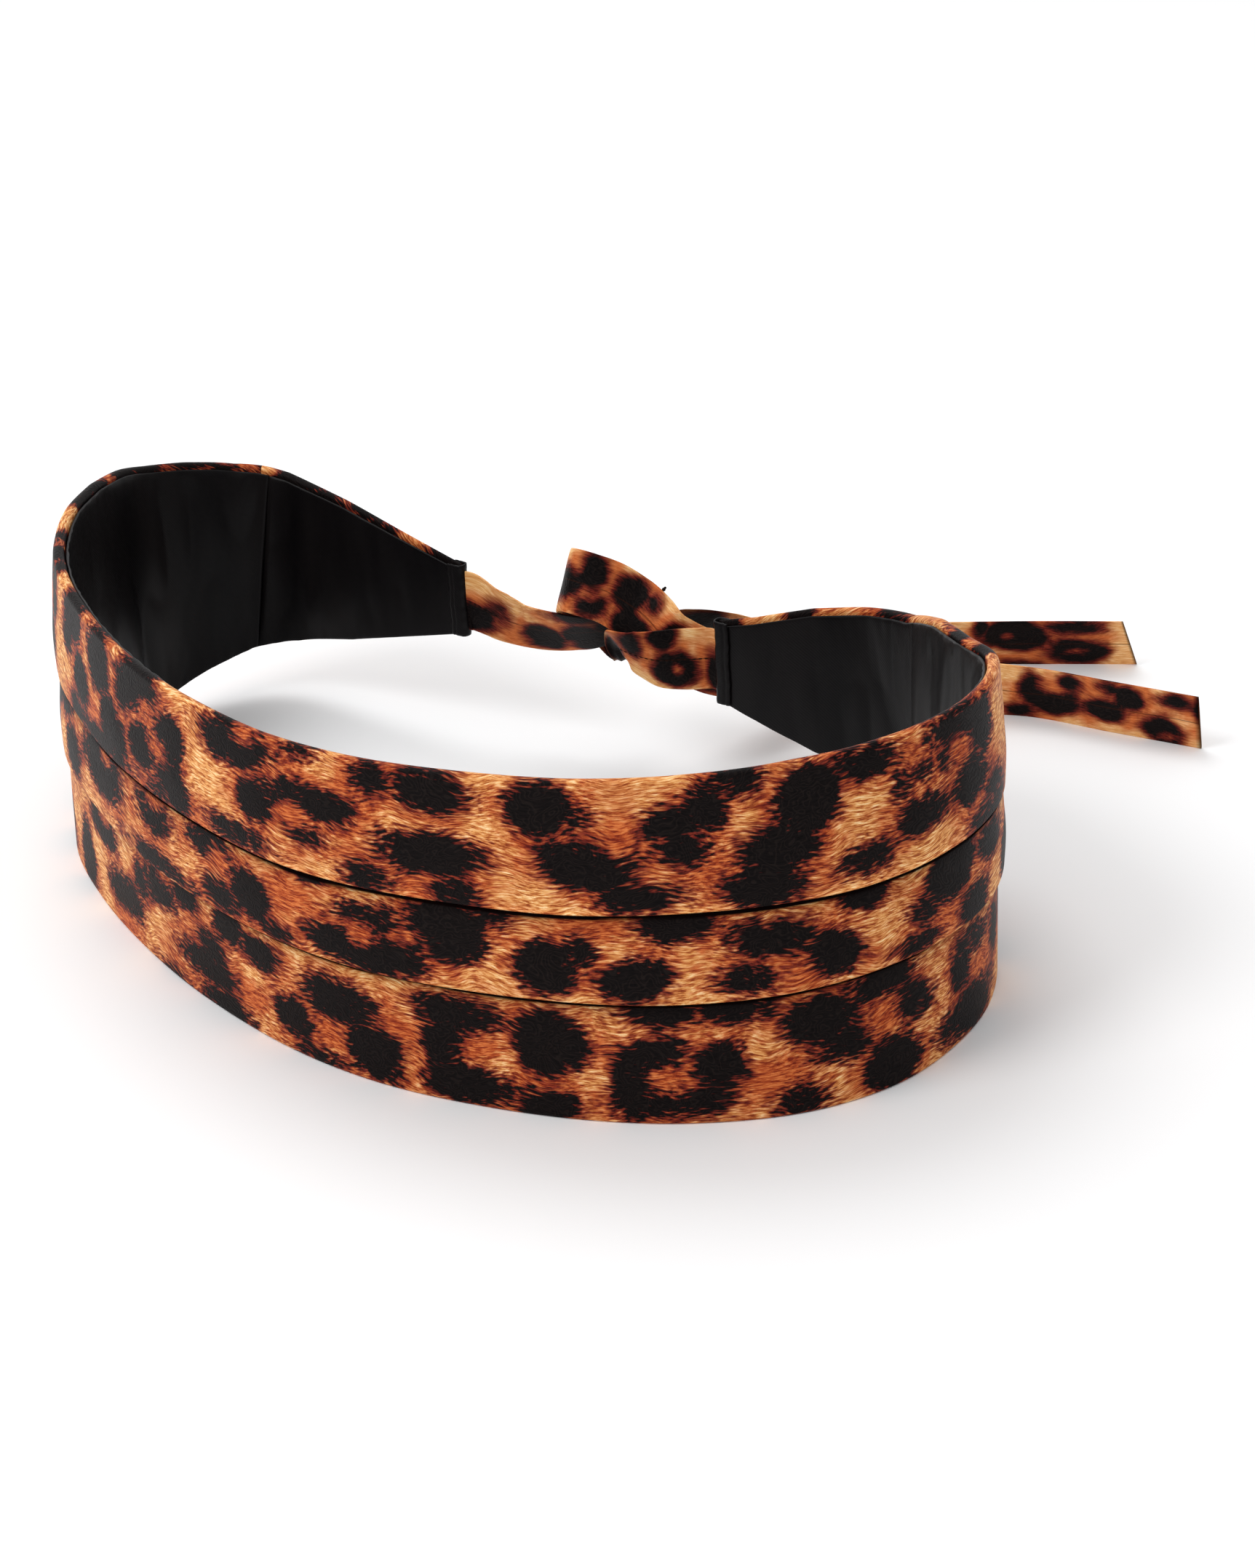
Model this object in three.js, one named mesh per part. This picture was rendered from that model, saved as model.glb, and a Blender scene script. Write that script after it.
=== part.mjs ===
// A pleated cummerbund, standing on its lower hem as it does when it has just been taken off, with its
// two ties crossed behind in a loose half knot and their tails lying on the surface. Millimetres, +Z up.
// The front faces -Y. The origin is on the surface, in the middle of the lower hem's foremost point.
import * as THREE from 'three';

// The band.
const BAND_WIDTH = 388;        // across the whole band, side to side
const BAND_DEPTH = 278;        // from the front hem to the back panels
const FRONT_HEIGHT = 120;      // the tallest part of the pleated front
const SIDE_SEAM_LEFT = 0.106;  // the side seams, front to back panel, as shares of the band's length
const SIDE_SEAM_RIGHT = 0.905;

// The cloth.
const CLOTH = 1.2;             // satin with its stiffening, one layer
const LINING_CLOTH = 1.0;
const CLEARANCE = 0.3;         // between layers and between pieces that touch
const HEM_WIDTH = 4.2;         // a rolled edge, from its outer face to its inner face
const END_HEM_WIDTH = 2.7;     // the same edge pressed flat at the band's two ends
const HEM_TURN = 10;           // how far each edge is turned in
const HEM_ROLL = 2.2;          // how far below the crown the rolled edge starts to turn

// The pleats, which open downwards. Heights are shares of the front's height at each place.
const LOWER_PLEAT = 0.366;
const UPPER_PLEAT = 0.62;
const PLEAT_TUCK = 11;         // hidden overlap behind each pleat's fold

// The lining, its folds and the tabs that close the ends.
const LINING_DROP = 2.2;       // the lining stops this far below the crown and above the foot
const FOLD_DEPTH = 0.9;        // the lining's soft upright folds
const FOLD_COUNT = 30;         // in the band's whole length
const TAB_REACH = 5.2;         // how far a tab lies over the band's end
const TAB_CLOTH = 1.0;
const TAB_PROUD = 0.4;         // the tab stands this far over the end, above and below

// The ties.
const TIE_WIDTH = 24;
const TIE_THICKNESS = 1.3;     // a flat tube of satin, two layers

// Stations of the band's lower outer edge, from the left end round the front to the right end. across and
// back are shares of BAND_WIDTH and BAND_DEPTH. foot, crown and lean are shares of FRONT_HEIGHT: the lower
// and upper edge, and how far the crown leans outwards.
const STATIONS = [
  { across: -0.311, back: 0.921, foot: 0.377, crown: 0.612, lean: 0 },
  { across: -0.382, back: 0.947, foot: 0.316, crown: 0.672, lean: 0 },
  { across: -0.456, back: 0.975, foot: 0.252, crown: 0.736, lean: 0 },
  { across: -0.529, back: 0.998, foot: 0.200, crown: 0.788, lean: 0 },
  { across: -0.559, back: 0.996, foot: 0.184, crown: 0.804, lean: 0 },
  { across: -0.587, back: 0.976, foot: 0.171, crown: 0.818, lean: 0 },
  { across: -0.620, back: 0.920, foot: 0.132, crown: 0.857, lean: 0 },
  { across: -0.642, back: 0.862, foot: 0.090, crown: 0.883, lean: 0 },
  { across: -0.648, back: 0.808, foot: 0.055, crown: 0.912, lean: 0 },
  { across: -0.641, back: 0.721, foot: 0.020, crown: 0.938, lean: 0 },
  { across: -0.628, back: 0.627, foot: 0.004, crown: 0.947, lean: -0.01 },
  { across: -0.603, back: 0.532, foot: 0, crown: 0.948, lean: -0.024 },
  { across: -0.563, back: 0.432, foot: 0, crown: 0.948, lean: -0.036 },
  { across: -0.485, back: 0.318, foot: 0, crown: 0.951, lean: -0.018 },
  { across: -0.395, back: 0.216, foot: 0, crown: 0.956, lean: 0.008 },
  { across: -0.298, back: 0.127, foot: 0, crown: 0.958, lean: 0.022 },
  { across: -0.182, back: 0.048, foot: 0, crown: 0.964, lean: 0.028 },
  { across: -0.090, back: 0.011, foot: 0, crown: 0.969, lean: 0.018 },
  { across: 0, back: 0, foot: 0, crown: 0.976, lean: 0.008 },
  { across: 0.103, back: 0.010, foot: 0, crown: 0.984, lean: 0 },
  { across: 0.192, back: 0.045, foot: 0, crown: 0.990, lean: -0.022 },
  { across: 0.272, back: 0.112, foot: 0, crown: 0.998, lean: -0.035 },
  { across: 0.325, back: 0.207, foot: 0, crown: 0.999, lean: -0.020 },
  { across: 0.348, back: 0.318, foot: 0, crown: 0.993, lean: 0.010 },
  { across: 0.350, back: 0.420, foot: 0, crown: 0.985, lean: 0.020 },
  { across: 0.331, back: 0.521, foot: 0.010, crown: 0.952, lean: 0.008 },
  { across: 0.295, back: 0.590, foot: 0.047, crown: 0.920, lean: 0 },
  { across: 0.250, back: 0.675, foot: 0.103, crown: 0.877, lean: 0 },
  { across: 0.205, back: 0.752, foot: 0.180, crown: 0.800, lean: 0 },
  { across: 0.149, back: 0.794, foot: 0.223, crown: 0.765, lean: 0 },
  { across: 0.089, back: 0.808, foot: 0.262, crown: 0.725, lean: 0 },
  { across: 0.028, back: 0.818, foot: 0.325, crown: 0.662, lean: 0 },
  { across: -0.012, back: 0.830, foot: 0.363, crown: 0.625, lean: 0 },
];

// The left tie from its tab, behind the knot, to the tip of its tail. across, back and up place the tie's
// middle, as shares of BAND_WIDTH, BAND_DEPTH and FRONT_HEIGHT. edgeX, edgeY and edgeZ point from its middle
// to one edge. gather is the share of its full width that the knot leaves it.
const TIE_LEFT_ROUTE = [
  { across: -0.280, back: 0.909, up: 0.470, edgeX: 0.17, edgeY: -0.21, edgeZ: 0.96, gather: 1 },
  { across: -0.265, back: 0.911, up: 0.451, edgeX: 0.23, edgeY: -0.27, edgeZ: 0.94, gather: 1 },
  { across: -0.240, back: 0.912, up: 0.433, edgeX: 0.40, edgeY: -0.40, edgeZ: 0.82, gather: 1 },
  { across: -0.199, back: 0.905, up: 0.442, edgeX: 0.46, edgeY: -0.51, edgeZ: 0.73, gather: 1 },
  { across: -0.154, back: 0.893, up: 0.478, edgeX: 0.40, edgeY: -0.62, edgeZ: 0.68, gather: 0.95 },
  { across: -0.118, back: 0.907, up: 0.480, edgeX: 0.30, edgeY: -0.65, edgeZ: 0.69, gather: 0.95 },
  { across: -0.092, back: 0.943, up: 0.473, edgeX: 0.21, edgeY: -0.69, edgeZ: 0.69, gather: 1 },
  { across: -0.070, back: 1.002, up: 0.408, edgeX: 0.19, edgeY: -0.65, edgeZ: 0.74, gather: 1 },
  { across: -0.040, back: 1.093, up: 0.284, edgeX: 0.18, edgeY: -0.50, edgeZ: 0.85, gather: 1 },
  { across: 0.026, back: 1.250, up: 0.183, edgeX: 0.17, edgeY: -0.37, edgeZ: 0.91, gather: 1 },
];
// The right tie: across the left one, under it, up behind it and forward over it, and down to its tail.
const TIE_RIGHT_ROUTE = [
  { across: -0.050, back: 0.823, up: 0.485, edgeX: 0.02, edgeY: 0.01, edgeZ: 1, gather: 1 },
  { across: -0.074, back: 0.820, up: 0.477, edgeX: 0.06, edgeY: -0.13, edgeZ: 0.99, gather: 1 },
  { across: -0.096, back: 0.822, up: 0.480, edgeX: 0.06, edgeY: -0.36, edgeZ: 0.93, gather: 0.98 },
  { across: -0.116, back: 0.829, up: 0.486, edgeX: -0.13, edgeY: -0.46, edgeZ: 0.88, gather: 0.80 },
  { across: -0.125, back: 0.850, up: 0.472, edgeX: -0.56, edgeY: -0.50, edgeZ: 0.66, gather: 0.50 },
  { across: -0.132, back: 0.887, up: 0.397, edgeX: -0.85, edgeY: -0.51, edgeZ: 0.10, gather: 0.36 },
  { across: -0.146, back: 0.928, up: 0.360, edgeX: -0.94, edgeY: -0.32, edgeZ: -0.10, gather: 0.40 },
  { across: -0.166, back: 0.957, up: 0.390, edgeX: -0.82, edgeY: -0.33, edgeZ: -0.47, gather: 0.60 },
  { across: -0.184, back: 0.957, up: 0.472, edgeX: -0.60, edgeY: -0.39, edgeZ: -0.70, gather: 0.85 },
  { across: -0.194, back: 0.928, up: 0.566, edgeX: -0.28, edgeY: -0.46, edgeZ: -0.84, gather: 1 },
  { across: -0.191, back: 0.888, up: 0.632, edgeX: -0.13, edgeY: -0.39, edgeZ: -0.91, gather: 1 },
  { across: -0.175, back: 0.864, up: 0.658, edgeX: -0.07, edgeY: -0.43, edgeZ: -0.90, gather: 1 },
  { across: -0.158, back: 0.863, up: 0.650, edgeX: -0.07, edgeY: -0.50, edgeZ: -0.86, gather: 1 },
  { across: -0.138, back: 0.871, up: 0.625, edgeX: -0.09, edgeY: -0.59, edgeZ: -0.80, gather: 1 },
  { across: -0.117, back: 0.876, up: 0.582, edgeX: -0.16, edgeY: -0.62, edgeZ: -0.76, gather: 1 },
  { across: -0.098, back: 0.874, up: 0.539, edgeX: -0.26, edgeY: -0.48, edgeZ: -0.84, gather: 0.95 },
  { across: -0.081, back: 0.872, up: 0.494, edgeX: -0.25, edgeY: -0.24, edgeZ: -0.94, gather: 0.90 },
  { across: -0.048, back: 0.917, up: 0.382, edgeX: -0.09, edgeY: -0.04, edgeZ: -0.99, gather: 1 },
  { across: 0.008, back: 1.026, up: 0.271, edgeX: 0, edgeY: 0, edgeZ: -1, gather: 1 },
];
// The tails lie on the surface on one edge. lift raises that edge, as a share of FRONT_HEIGHT, until it
// touches down. The last row of each is the tail's tip.
const TAIL_LEFT = [
  { across: 0.062, back: 1.319, lift: 0.016, edgeX: 0.14, edgeY: -0.31, edgeZ: 0.94 },
  { across: 0.112, back: 1.367, lift: 0, edgeX: 0.17, edgeY: -0.35, edgeZ: 0.92 },
  { across: 0.182, back: 1.399, lift: 0, edgeX: 0.17, edgeY: -0.35, edgeZ: 0.92 },
  { across: 0.256, back: 1.430, lift: 0, edgeX: 0.17, edgeY: -0.35, edgeZ: 0.92 },
];
const TAIL_RIGHT = [
  { across: 0.084, back: 1.140, lift: 0.040, edgeX: 0.04, edgeY: -0.09, edgeZ: -0.99 },
  { across: 0.140, back: 1.199, lift: 0.006, edgeX: -0.04, edgeY: 0.09, edgeZ: -0.99 },
  { across: 0.196, back: 1.219, lift: 0, edgeX: -0.11, edgeY: 0.23, edgeZ: -0.97 },
  { across: 0.288, back: 1.204, lift: 0, edgeX: -0.11, edgeY: 0.23, edgeZ: -0.97 },
  { across: 0.378, back: 1.189, lift: 0, edgeX: -0.11, edgeY: 0.23, edgeZ: -0.97 },
];

const planCurve = new THREE.CatmullRomCurve3(STATIONS.map(
  (row) => new THREE.Vector3(row.across * BAND_WIDTH, row.back * BAND_DEPTH, 0)));
planCurve.arcLengthDivisions = 600;
const BAND_LENGTH = planCurve.getLength();

// A value of the station table between its rows.
function stationValue(name, place) {
  const index = Math.min(Math.floor(place), STATIONS.length - 2);
  return THREE.MathUtils.lerp(STATIONS[index][name], STATIONS[index + 1][name], place - index);
}

// The band's frame at a share of its length: the lower edge's place, its directions and its edges.
function bandAt(share) {
  const t = planCurve.getUtoTmapping(share);
  const place = t * (STATIONS.length - 1);
  const along = planCurve.getTangent(t);
  const outward = new THREE.Vector3(along.y, -along.x, 0);
  const point = planCurve.getPoint(t);
  return {
    point,
    along,
    outward,
    foot: stationValue('foot', place) * FRONT_HEIGHT,
    crown: stationValue('crown', place) * FRONT_HEIGHT,
    lean: stationValue('lean', place) * FRONT_HEIGHT,
  };
}

// A point of the wall: so far outside the lower edge's line, and at a height above the surface.
function wallPoint(frame, outside, height) {
  const share = (height - frame.foot) / (frame.crown - frame.foot);
  const point = frame.point.clone().addScaledVector(frame.outward, outside + frame.lean * share);
  return point.setZ(height);
}

// The closed outline of a strip of cloth that follows a centre line, with square corners at its folds.
function stripOutline(centre, thickness) {
  const left = [];
  const right = [];
  centre.forEach((point, index) => {
    const before = centre[Math.max(index - 1, 0)];
    const after = centre[Math.min(index + 1, centre.length - 1)];
    const into = index === 0 ? after.clone().sub(point) : point.clone().sub(before);
    const out = index === centre.length - 1 ? into.clone() : after.clone().sub(point);
    into.normalize();
    out.normalize();
    const side = new THREE.Vector2(-into.y - out.y, into.x + out.x).normalize();
    const reach = thickness / 2 / Math.max(side.dot(new THREE.Vector2(-into.y, into.x)), 0.5);
    left.push(point.clone().addScaledVector(side, reach));
    right.push(point.clone().addScaledVector(side, -reach));
  });
  return left.concat(right.reverse());
}

// A closed solid through rings of points. Each ring runs out along one side of a strip and back along the
// other, so its ends close with a ladder of faces between the two sides.
function loft(rings) {
  const count = rings[0].length;
  const points = rings.flat();
  const faces = [];
  for (let ring = 0; ring < rings.length - 1; ring += 1) {
    for (let side = 0; side < count; side += 1) {
      const a = ring * count + side;
      const b = ring * count + (side + 1) % count;
      faces.push([a, b, b + count], [a, b + count, a + count]);
    }
  }
  const last = (rings.length - 1) * count;
  for (let rung = 0; rung < count / 2 - 1; rung += 1) {
    const across = count - 1 - rung;
    faces.push([rung, across, rung + 1], [across, across - 1, rung + 1]);
    faces.push([last + rung, last + rung + 1, last + across]);
    faces.push([last + across, last + rung + 1, last + across - 1]);
  }
  const volume = faces.reduce(
    (sum, [a, b, c]) => sum + points[a].dot(points[b].clone().cross(points[c])), 0);
  const outwards = volume > 0 ? faces : faces.map(([a, b, c]) => [a, c, b]);
  const geometry = new THREE.BufferGeometry().setFromPoints(points);
  geometry.setIndex(outwards.flat());
  geometry.computeVertexNormals();
  return geometry;
}

// The cloth is pressed flat at the band's two ends and has its full thickness from the side seams on.
function fullnessAt(share) {
  return Math.min(share / SIDE_SEAM_LEFT, (1 - share) / (1 - SIDE_SEAM_RIGHT), 1);
}

function hemWidthAt(share) {
  return THREE.MathUtils.lerp(END_HEM_WIDTH, HEM_WIDTH, fullnessAt(share));
}

// The rolled lower hem, from its turned-in end round to the outer face.
function lowerHem(foot, hemWidth) {
  const outer = -CLOTH / 2;
  const inner = -hemWidth + CLOTH / 2;
  return [
    new THREE.Vector2(inner, foot + HEM_TURN),
    new THREE.Vector2(inner, foot + CLOTH / 2),
    new THREE.Vector2(outer, foot + CLOTH / 2),
  ];
}

// The rolled upper hem, from the outer face over the crown to its turned-in end.
function upperHem(crown, hemWidth) {
  const outer = -CLOTH / 2;
  const inner = -hemWidth + CLOTH / 2;
  const top = crown - CLOTH / 2;
  const shoulder = (outer - inner) / 4;
  return [
    new THREE.Vector2(outer, crown - HEM_ROLL),
    new THREE.Vector2(outer - shoulder, top),
    new THREE.Vector2(inner + shoulder, top),
    new THREE.Vector2(inner, crown - HEM_ROLL),
    new THREE.Vector2(inner, crown - HEM_TURN),
  ];
}

// One pleat: the cloth below runs up behind it, folds down again and turns out at the pleat's lower edge.
function pleatFolds(height) {
  const behind = -CLOTH / 2;
  const step = CLOTH + CLEARANCE;
  return [
    new THREE.Vector2(behind, height - CLOTH),
    new THREE.Vector2(behind, height + PLEAT_TUCK),
    new THREE.Vector2(behind + step, height + PLEAT_TUCK),
    new THREE.Vector2(behind + step, height),
    new THREE.Vector2(behind + 2 * step, height),
    new THREE.Vector2(behind + 2 * step, height + PLEAT_TUCK + CLOTH),
  ];
}

// The folded cloth of the front at one place along the band.
function frontSection(frame, hemWidth) {
  const height = frame.crown - frame.foot;
  return [
    ...lowerHem(frame.foot, hemWidth),
    ...pleatFolds(frame.foot + LOWER_PLEAT * height),
    ...pleatFolds(frame.foot + UPPER_PLEAT * height),
    ...upperHem(frame.crown, hemWidth),
  ];
}

function panelSection(frame, hemWidth) {
  return [...lowerHem(frame.foot, hemWidth), ...upperHem(frame.crown, hemWidth)];
}

// A length of the outer cloth between two shares of the band.
function outerCloth(from, to, steps, section) {
  const rings = [];
  for (let step = 0; step <= steps; step += 1) {
    const share = THREE.MathUtils.lerp(from, to, step / steps);
    const frame = bandAt(share);
    const outline = stripOutline(section(frame, hemWidthAt(share)), CLOTH);
    rings.push(outline.map((point) => wallPoint(frame, point.x, point.y)));
  }
  return loft(rings);
}

// A length of lining, with soft upright folds that stand away from the outer cloth.
function liningCloth(from, to, steps) {
  const levels = [0, 0.5, 1];
  const rings = [];
  for (let step = 0; step <= steps; step += 1) {
    const share = THREE.MathUtils.lerp(from, to, step / steps);
    const frame = bandAt(share);
    const ripple = Math.sin(share * FOLD_COUNT * Math.PI) ** 2 * fullnessAt(share);
    const seat = -hemWidthAt(share) - CLEARANCE;
    const low = frame.foot + LINING_DROP;
    const high = frame.crown - LINING_DROP;
    const face = levels.map((level) => {
      const fold = FOLD_DEPTH * ripple * Math.sin(level * Math.PI);
      return new THREE.Vector2(seat - fold, THREE.MathUtils.lerp(low, high, level));
    });
    const back = face.map((point) => new THREE.Vector2(point.x - LINING_CLOTH, point.y)).reverse();
    rings.push(face.concat(back).map((point) => wallPoint(frame, point.x, point.y)));
  }
  return loft(rings);
}

// How many flat facets follow the curve of the front and of each back panel. The outer cloth and its lining
// share them, so that the two stay parallel.
const FRONT_FACETS = 84;
const PANEL_FACETS = 12;

// The seams leave a clearance between the lengths of cloth.
const seamShare = CLEARANCE / 2 / BAND_LENGTH;

// The folded tab over one end of the band. side is -1 at the left end and 1 at the right end.
function endTab(side) {
  const share = side < 0 ? 0 : 1;
  const frame = bandAt(share);
  const near = CLEARANCE + TAB_CLOTH / 2;
  const far = -(END_HEM_WIDTH + CLEARANCE + LINING_CLOTH) - near;
  const outline = stripOutline([
    new THREE.Vector2(-TAB_REACH, near),
    new THREE.Vector2(near, near),
    new THREE.Vector2(near, far),
    new THREE.Vector2(-TAB_REACH, far),
  ], TAB_CLOTH);
  const heights = [frame.foot - TAB_PROUD, frame.crown + TAB_PROUD];
  return loft(heights.map((height) => outline.map((point) => frame.point.clone()
    .addScaledVector(frame.along, side * point.x)
    .addScaledVector(frame.outward, point.y)
    .setZ(height))));
}

// Where a tie leaves its tab: the middle of the tab's end, a clearance away, and a little straight ahead.
function tieStart(side) {
  const frame = bandAt(side < 0 ? 0 : 1);
  const slot = END_HEM_WIDTH + CLEARANCE + LINING_CLOTH;
  const start = frame.point.clone()
    .addScaledVector(frame.along, side * (2 * CLEARANCE + TAB_CLOTH))
    .addScaledVector(frame.outward, -slot / 2)
    .setZ((frame.foot + frame.crown) / 2);
  const ahead = start.clone().addScaledVector(frame.along, side * TAB_REACH / 2);
  return [start, ahead].map((centre) => ({ centre, edge: new THREE.Vector3(0, 0, 1), gather: 1 }));
}

// A row of a tie's route or tail: the middle of the tie, the direction of one edge and its width.
function routeRow(row) {
  const edge = new THREE.Vector3(row.edgeX, row.edgeY, row.edgeZ).normalize();
  const lyingHeight = Math.abs(edge.z) * TIE_WIDTH / 2 + TIE_THICKNESS / 2 * Math.hypot(edge.x, edge.y);
  const up = row.lift === undefined ? row.up * FRONT_HEIGHT : row.lift * FRONT_HEIGHT + lyingHeight;
  return {
    centre: new THREE.Vector3(row.across * BAND_WIDTH, row.back * BAND_DEPTH, up),
    edge,
    gather: row.gather ?? 1,
  };
}

// A flat tie that follows its rows, as one closed ribbon.
function tie(side, route, tail) {
  const rows = [...tieStart(side), ...route.map(routeRow), ...tail.map(routeRow)];
  const centres = new THREE.CatmullRomCurve3(rows.map((row) => row.centre));
  const edges = new THREE.CatmullRomCurve3(rows.map((row) => row.edge), false, 'catmullrom', 0.5);
  const half = TIE_THICKNESS / 2;
  const steps = (rows.length - 1) * 4;
  const rings = [];
  for (let step = 0; step <= steps; step += 1) {
    const t = step / steps;
    const place = t * (rows.length - 1);
    const index = Math.min(Math.floor(place), rows.length - 2);
    const gather = THREE.MathUtils.lerp(rows[index].gather, rows[index + 1].gather, place - index);
    const reach = gather * TIE_WIDTH / 2;
    const outline = [
      new THREE.Vector2(-reach, 0),
      new THREE.Vector2(-reach + half, -half),
      new THREE.Vector2(reach - half, -half),
      new THREE.Vector2(reach, 0),
      new THREE.Vector2(reach - half, half),
      new THREE.Vector2(-reach + half, half),
    ];
    const centre = centres.getPoint(t);
    const along = centres.getTangent(t);
    const edge = edges.getPoint(t);
    edge.addScaledVector(along, -edge.dot(along)).normalize();
    const face = along.clone().cross(edge);
    rings.push(outline.map((point) => centre.clone()
      .addScaledVector(edge, point.x)
      .addScaledVector(face, point.y)));
  }
  return loft(rings);
}

function satin(colour) {
  return new THREE.MeshStandardMaterial({ color: colour, roughness: 0.45, metalness: 0 });
}
const printedSatin = satin(0xb8763a);
const blackLining = satin(0x17120f);

function piece(name, geometry, material) {
  const mesh = new THREE.Mesh(geometry, material);
  mesh.name = name;
  return mesh;
}

const cummerbund = new THREE.Group();
cummerbund.position.y = -HEM_WIDTH / 2;
const frontEnds = [SIDE_SEAM_LEFT + seamShare, SIDE_SEAM_RIGHT - seamShare];
const leftEnds = [0, SIDE_SEAM_LEFT - seamShare];
const rightEnds = [SIDE_SEAM_RIGHT + seamShare, 1];
cummerbund.add(
  piece('front_shell', outerCloth(...frontEnds, FRONT_FACETS, frontSection), printedSatin),
  piece('back_panel_left', outerCloth(...leftEnds, PANEL_FACETS, panelSection), printedSatin),
  piece('back_panel_right', outerCloth(...rightEnds, PANEL_FACETS, panelSection), printedSatin),
  piece('lining_front', liningCloth(...frontEnds, FRONT_FACETS), blackLining),
  piece('lining_left', liningCloth(...leftEnds, PANEL_FACETS), blackLining),
  piece('lining_right', liningCloth(...rightEnds, PANEL_FACETS), blackLining),
  piece('end_tab_left', endTab(-1), blackLining),
  piece('end_tab_right', endTab(1), blackLining),
  piece('tie_left', tie(-1, TIE_LEFT_ROUTE, TAIL_LEFT), printedSatin),
  piece('tie_right', tie(1, TIE_RIGHT_ROUTE, TAIL_RIGHT), printedSatin),
);

export default cummerbund;
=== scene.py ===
import bpy
import bmesh
import math
import random
import numpy as np
from mathutils import Matrix, Vector, noise


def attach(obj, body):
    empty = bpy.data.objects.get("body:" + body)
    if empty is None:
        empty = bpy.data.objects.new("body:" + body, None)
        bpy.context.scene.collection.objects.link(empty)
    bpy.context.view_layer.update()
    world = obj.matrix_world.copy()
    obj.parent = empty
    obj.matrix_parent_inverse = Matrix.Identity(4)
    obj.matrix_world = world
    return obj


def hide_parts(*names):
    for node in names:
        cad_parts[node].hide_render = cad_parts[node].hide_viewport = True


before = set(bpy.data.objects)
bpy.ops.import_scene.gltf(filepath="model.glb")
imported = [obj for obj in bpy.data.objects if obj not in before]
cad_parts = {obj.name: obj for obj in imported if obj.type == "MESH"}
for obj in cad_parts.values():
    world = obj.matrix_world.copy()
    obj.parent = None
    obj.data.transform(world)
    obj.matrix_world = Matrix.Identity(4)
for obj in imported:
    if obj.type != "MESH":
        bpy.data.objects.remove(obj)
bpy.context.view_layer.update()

# The camera stands in front and to the right, a little over a metre away, and looks down at 25 degrees.
# It is tilted 3 degrees, as the photograph is.
CAMERA_PLACE = Vector((0.4815, -0.9012, 0.5845))
CAMERA_TARGET = Vector((0.00546, 0.11964, 0.05927))
CAMERA_ROLL = math.radians(-3)
CAMERA_LENS = 84.22

ahead = (CAMERA_TARGET - CAMERA_PLACE).normalized()
level = ahead.cross(Vector((0, 0, 1))).normalized()
upright = level.cross(ahead)
camera_right = level * math.cos(CAMERA_ROLL) + upright * math.sin(CAMERA_ROLL)
camera_up = upright * math.cos(CAMERA_ROLL) - level * math.sin(CAMERA_ROLL)
camera_data = bpy.data.cameras.new("camera")
camera_data.lens = CAMERA_LENS
camera_data.sensor_width = 36
camera_data.clip_start = 0.05
camera = bpy.data.objects.new("camera", camera_data)
camera.matrix_world = Matrix.Translation(CAMERA_PLACE) @ Matrix(
    (camera_right, camera_up, -ahead)).transposed().to_4x4()
bpy.context.scene.collection.objects.link(camera)
bpy.context.scene.camera = camera

# The floor is a wide pale sheet under the whole scene. It isn't part of the object.
FLOOR_REACH = 6.0

floor_bm = bmesh.new()
bmesh.ops.create_grid(floor_bm, x_segments=1, y_segments=1, size=FLOOR_REACH)
floor_mesh = bpy.data.meshes.new("floor")
floor_bm.to_mesh(floor_mesh)
floor_bm.free()
floor = bpy.data.objects.new("floor", floor_mesh)
bpy.context.scene.collection.objects.link(floor)
floor_paint = bpy.data.materials.new("floor_paint")
floor_paint.use_nodes = True
floor_shader = floor_paint.node_tree.nodes["Principled BSDF"]
floor_shader.inputs["Base Color"].default_value = (0.93, 0.93, 0.935, 1)
floor_shader.inputs["Roughness"].default_value = 0.9
floor_mesh.materials.append(floor_paint)

# Studio light: two large soft lamps, one in front on the left and one high behind, and a room that is palest
# on the left. Together they leave a short soft shadow at the foot of the front and right of the band.
LIGHT_AIM = Vector((-0.05, 0.13, 0.05))
ROOM_LEFT = 1.10
ROOM_RIGHT = 0.54
LIGHTS = (
    # name, place, size, power
    ("key", (-0.82, -1.10, 1.85), 0.9, 15),
    ("top", (-0.75, 0.85, 2.15), 1.2, 13),
)
for light_name, place, size, power in LIGHTS:
    light_data = bpy.data.lights.new(light_name, "AREA")
    light_data.shape = "DISK"
    light_data.size = size
    light_data.energy = power
    light = bpy.data.objects.new(light_name, light_data)
    light.location = place
    light.rotation_euler = (Vector(place) - LIGHT_AIM).to_track_quat("Z", "Y").to_euler()
    bpy.context.scene.collection.objects.link(light)
world = bpy.data.worlds.new("room")
world.use_nodes = True
room_tree = world.node_tree
room_tree.nodes["Background"].inputs["Color"].default_value = (1, 1, 1, 1)
looking = room_tree.nodes.new("ShaderNodeTexCoord")
sideways = room_tree.nodes.new("ShaderNodeSeparateXYZ")
paleness = room_tree.nodes.new("ShaderNodeMapRange")
paleness.inputs["From Min"].default_value = -1
paleness.inputs["To Min"].default_value = ROOM_LEFT
paleness.inputs["To Max"].default_value = ROOM_RIGHT
room_tree.links.new(looking.outputs["Generated"], sideways.inputs["Vector"])
room_tree.links.new(sideways.outputs["X"], paleness.inputs["Value"])
room_tree.links.new(paleness.outputs["Result"], room_tree.nodes["Background"].inputs["Strength"])
bpy.context.scene.world = world
bpy.context.scene.view_settings.view_transform = "Standard"

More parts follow.
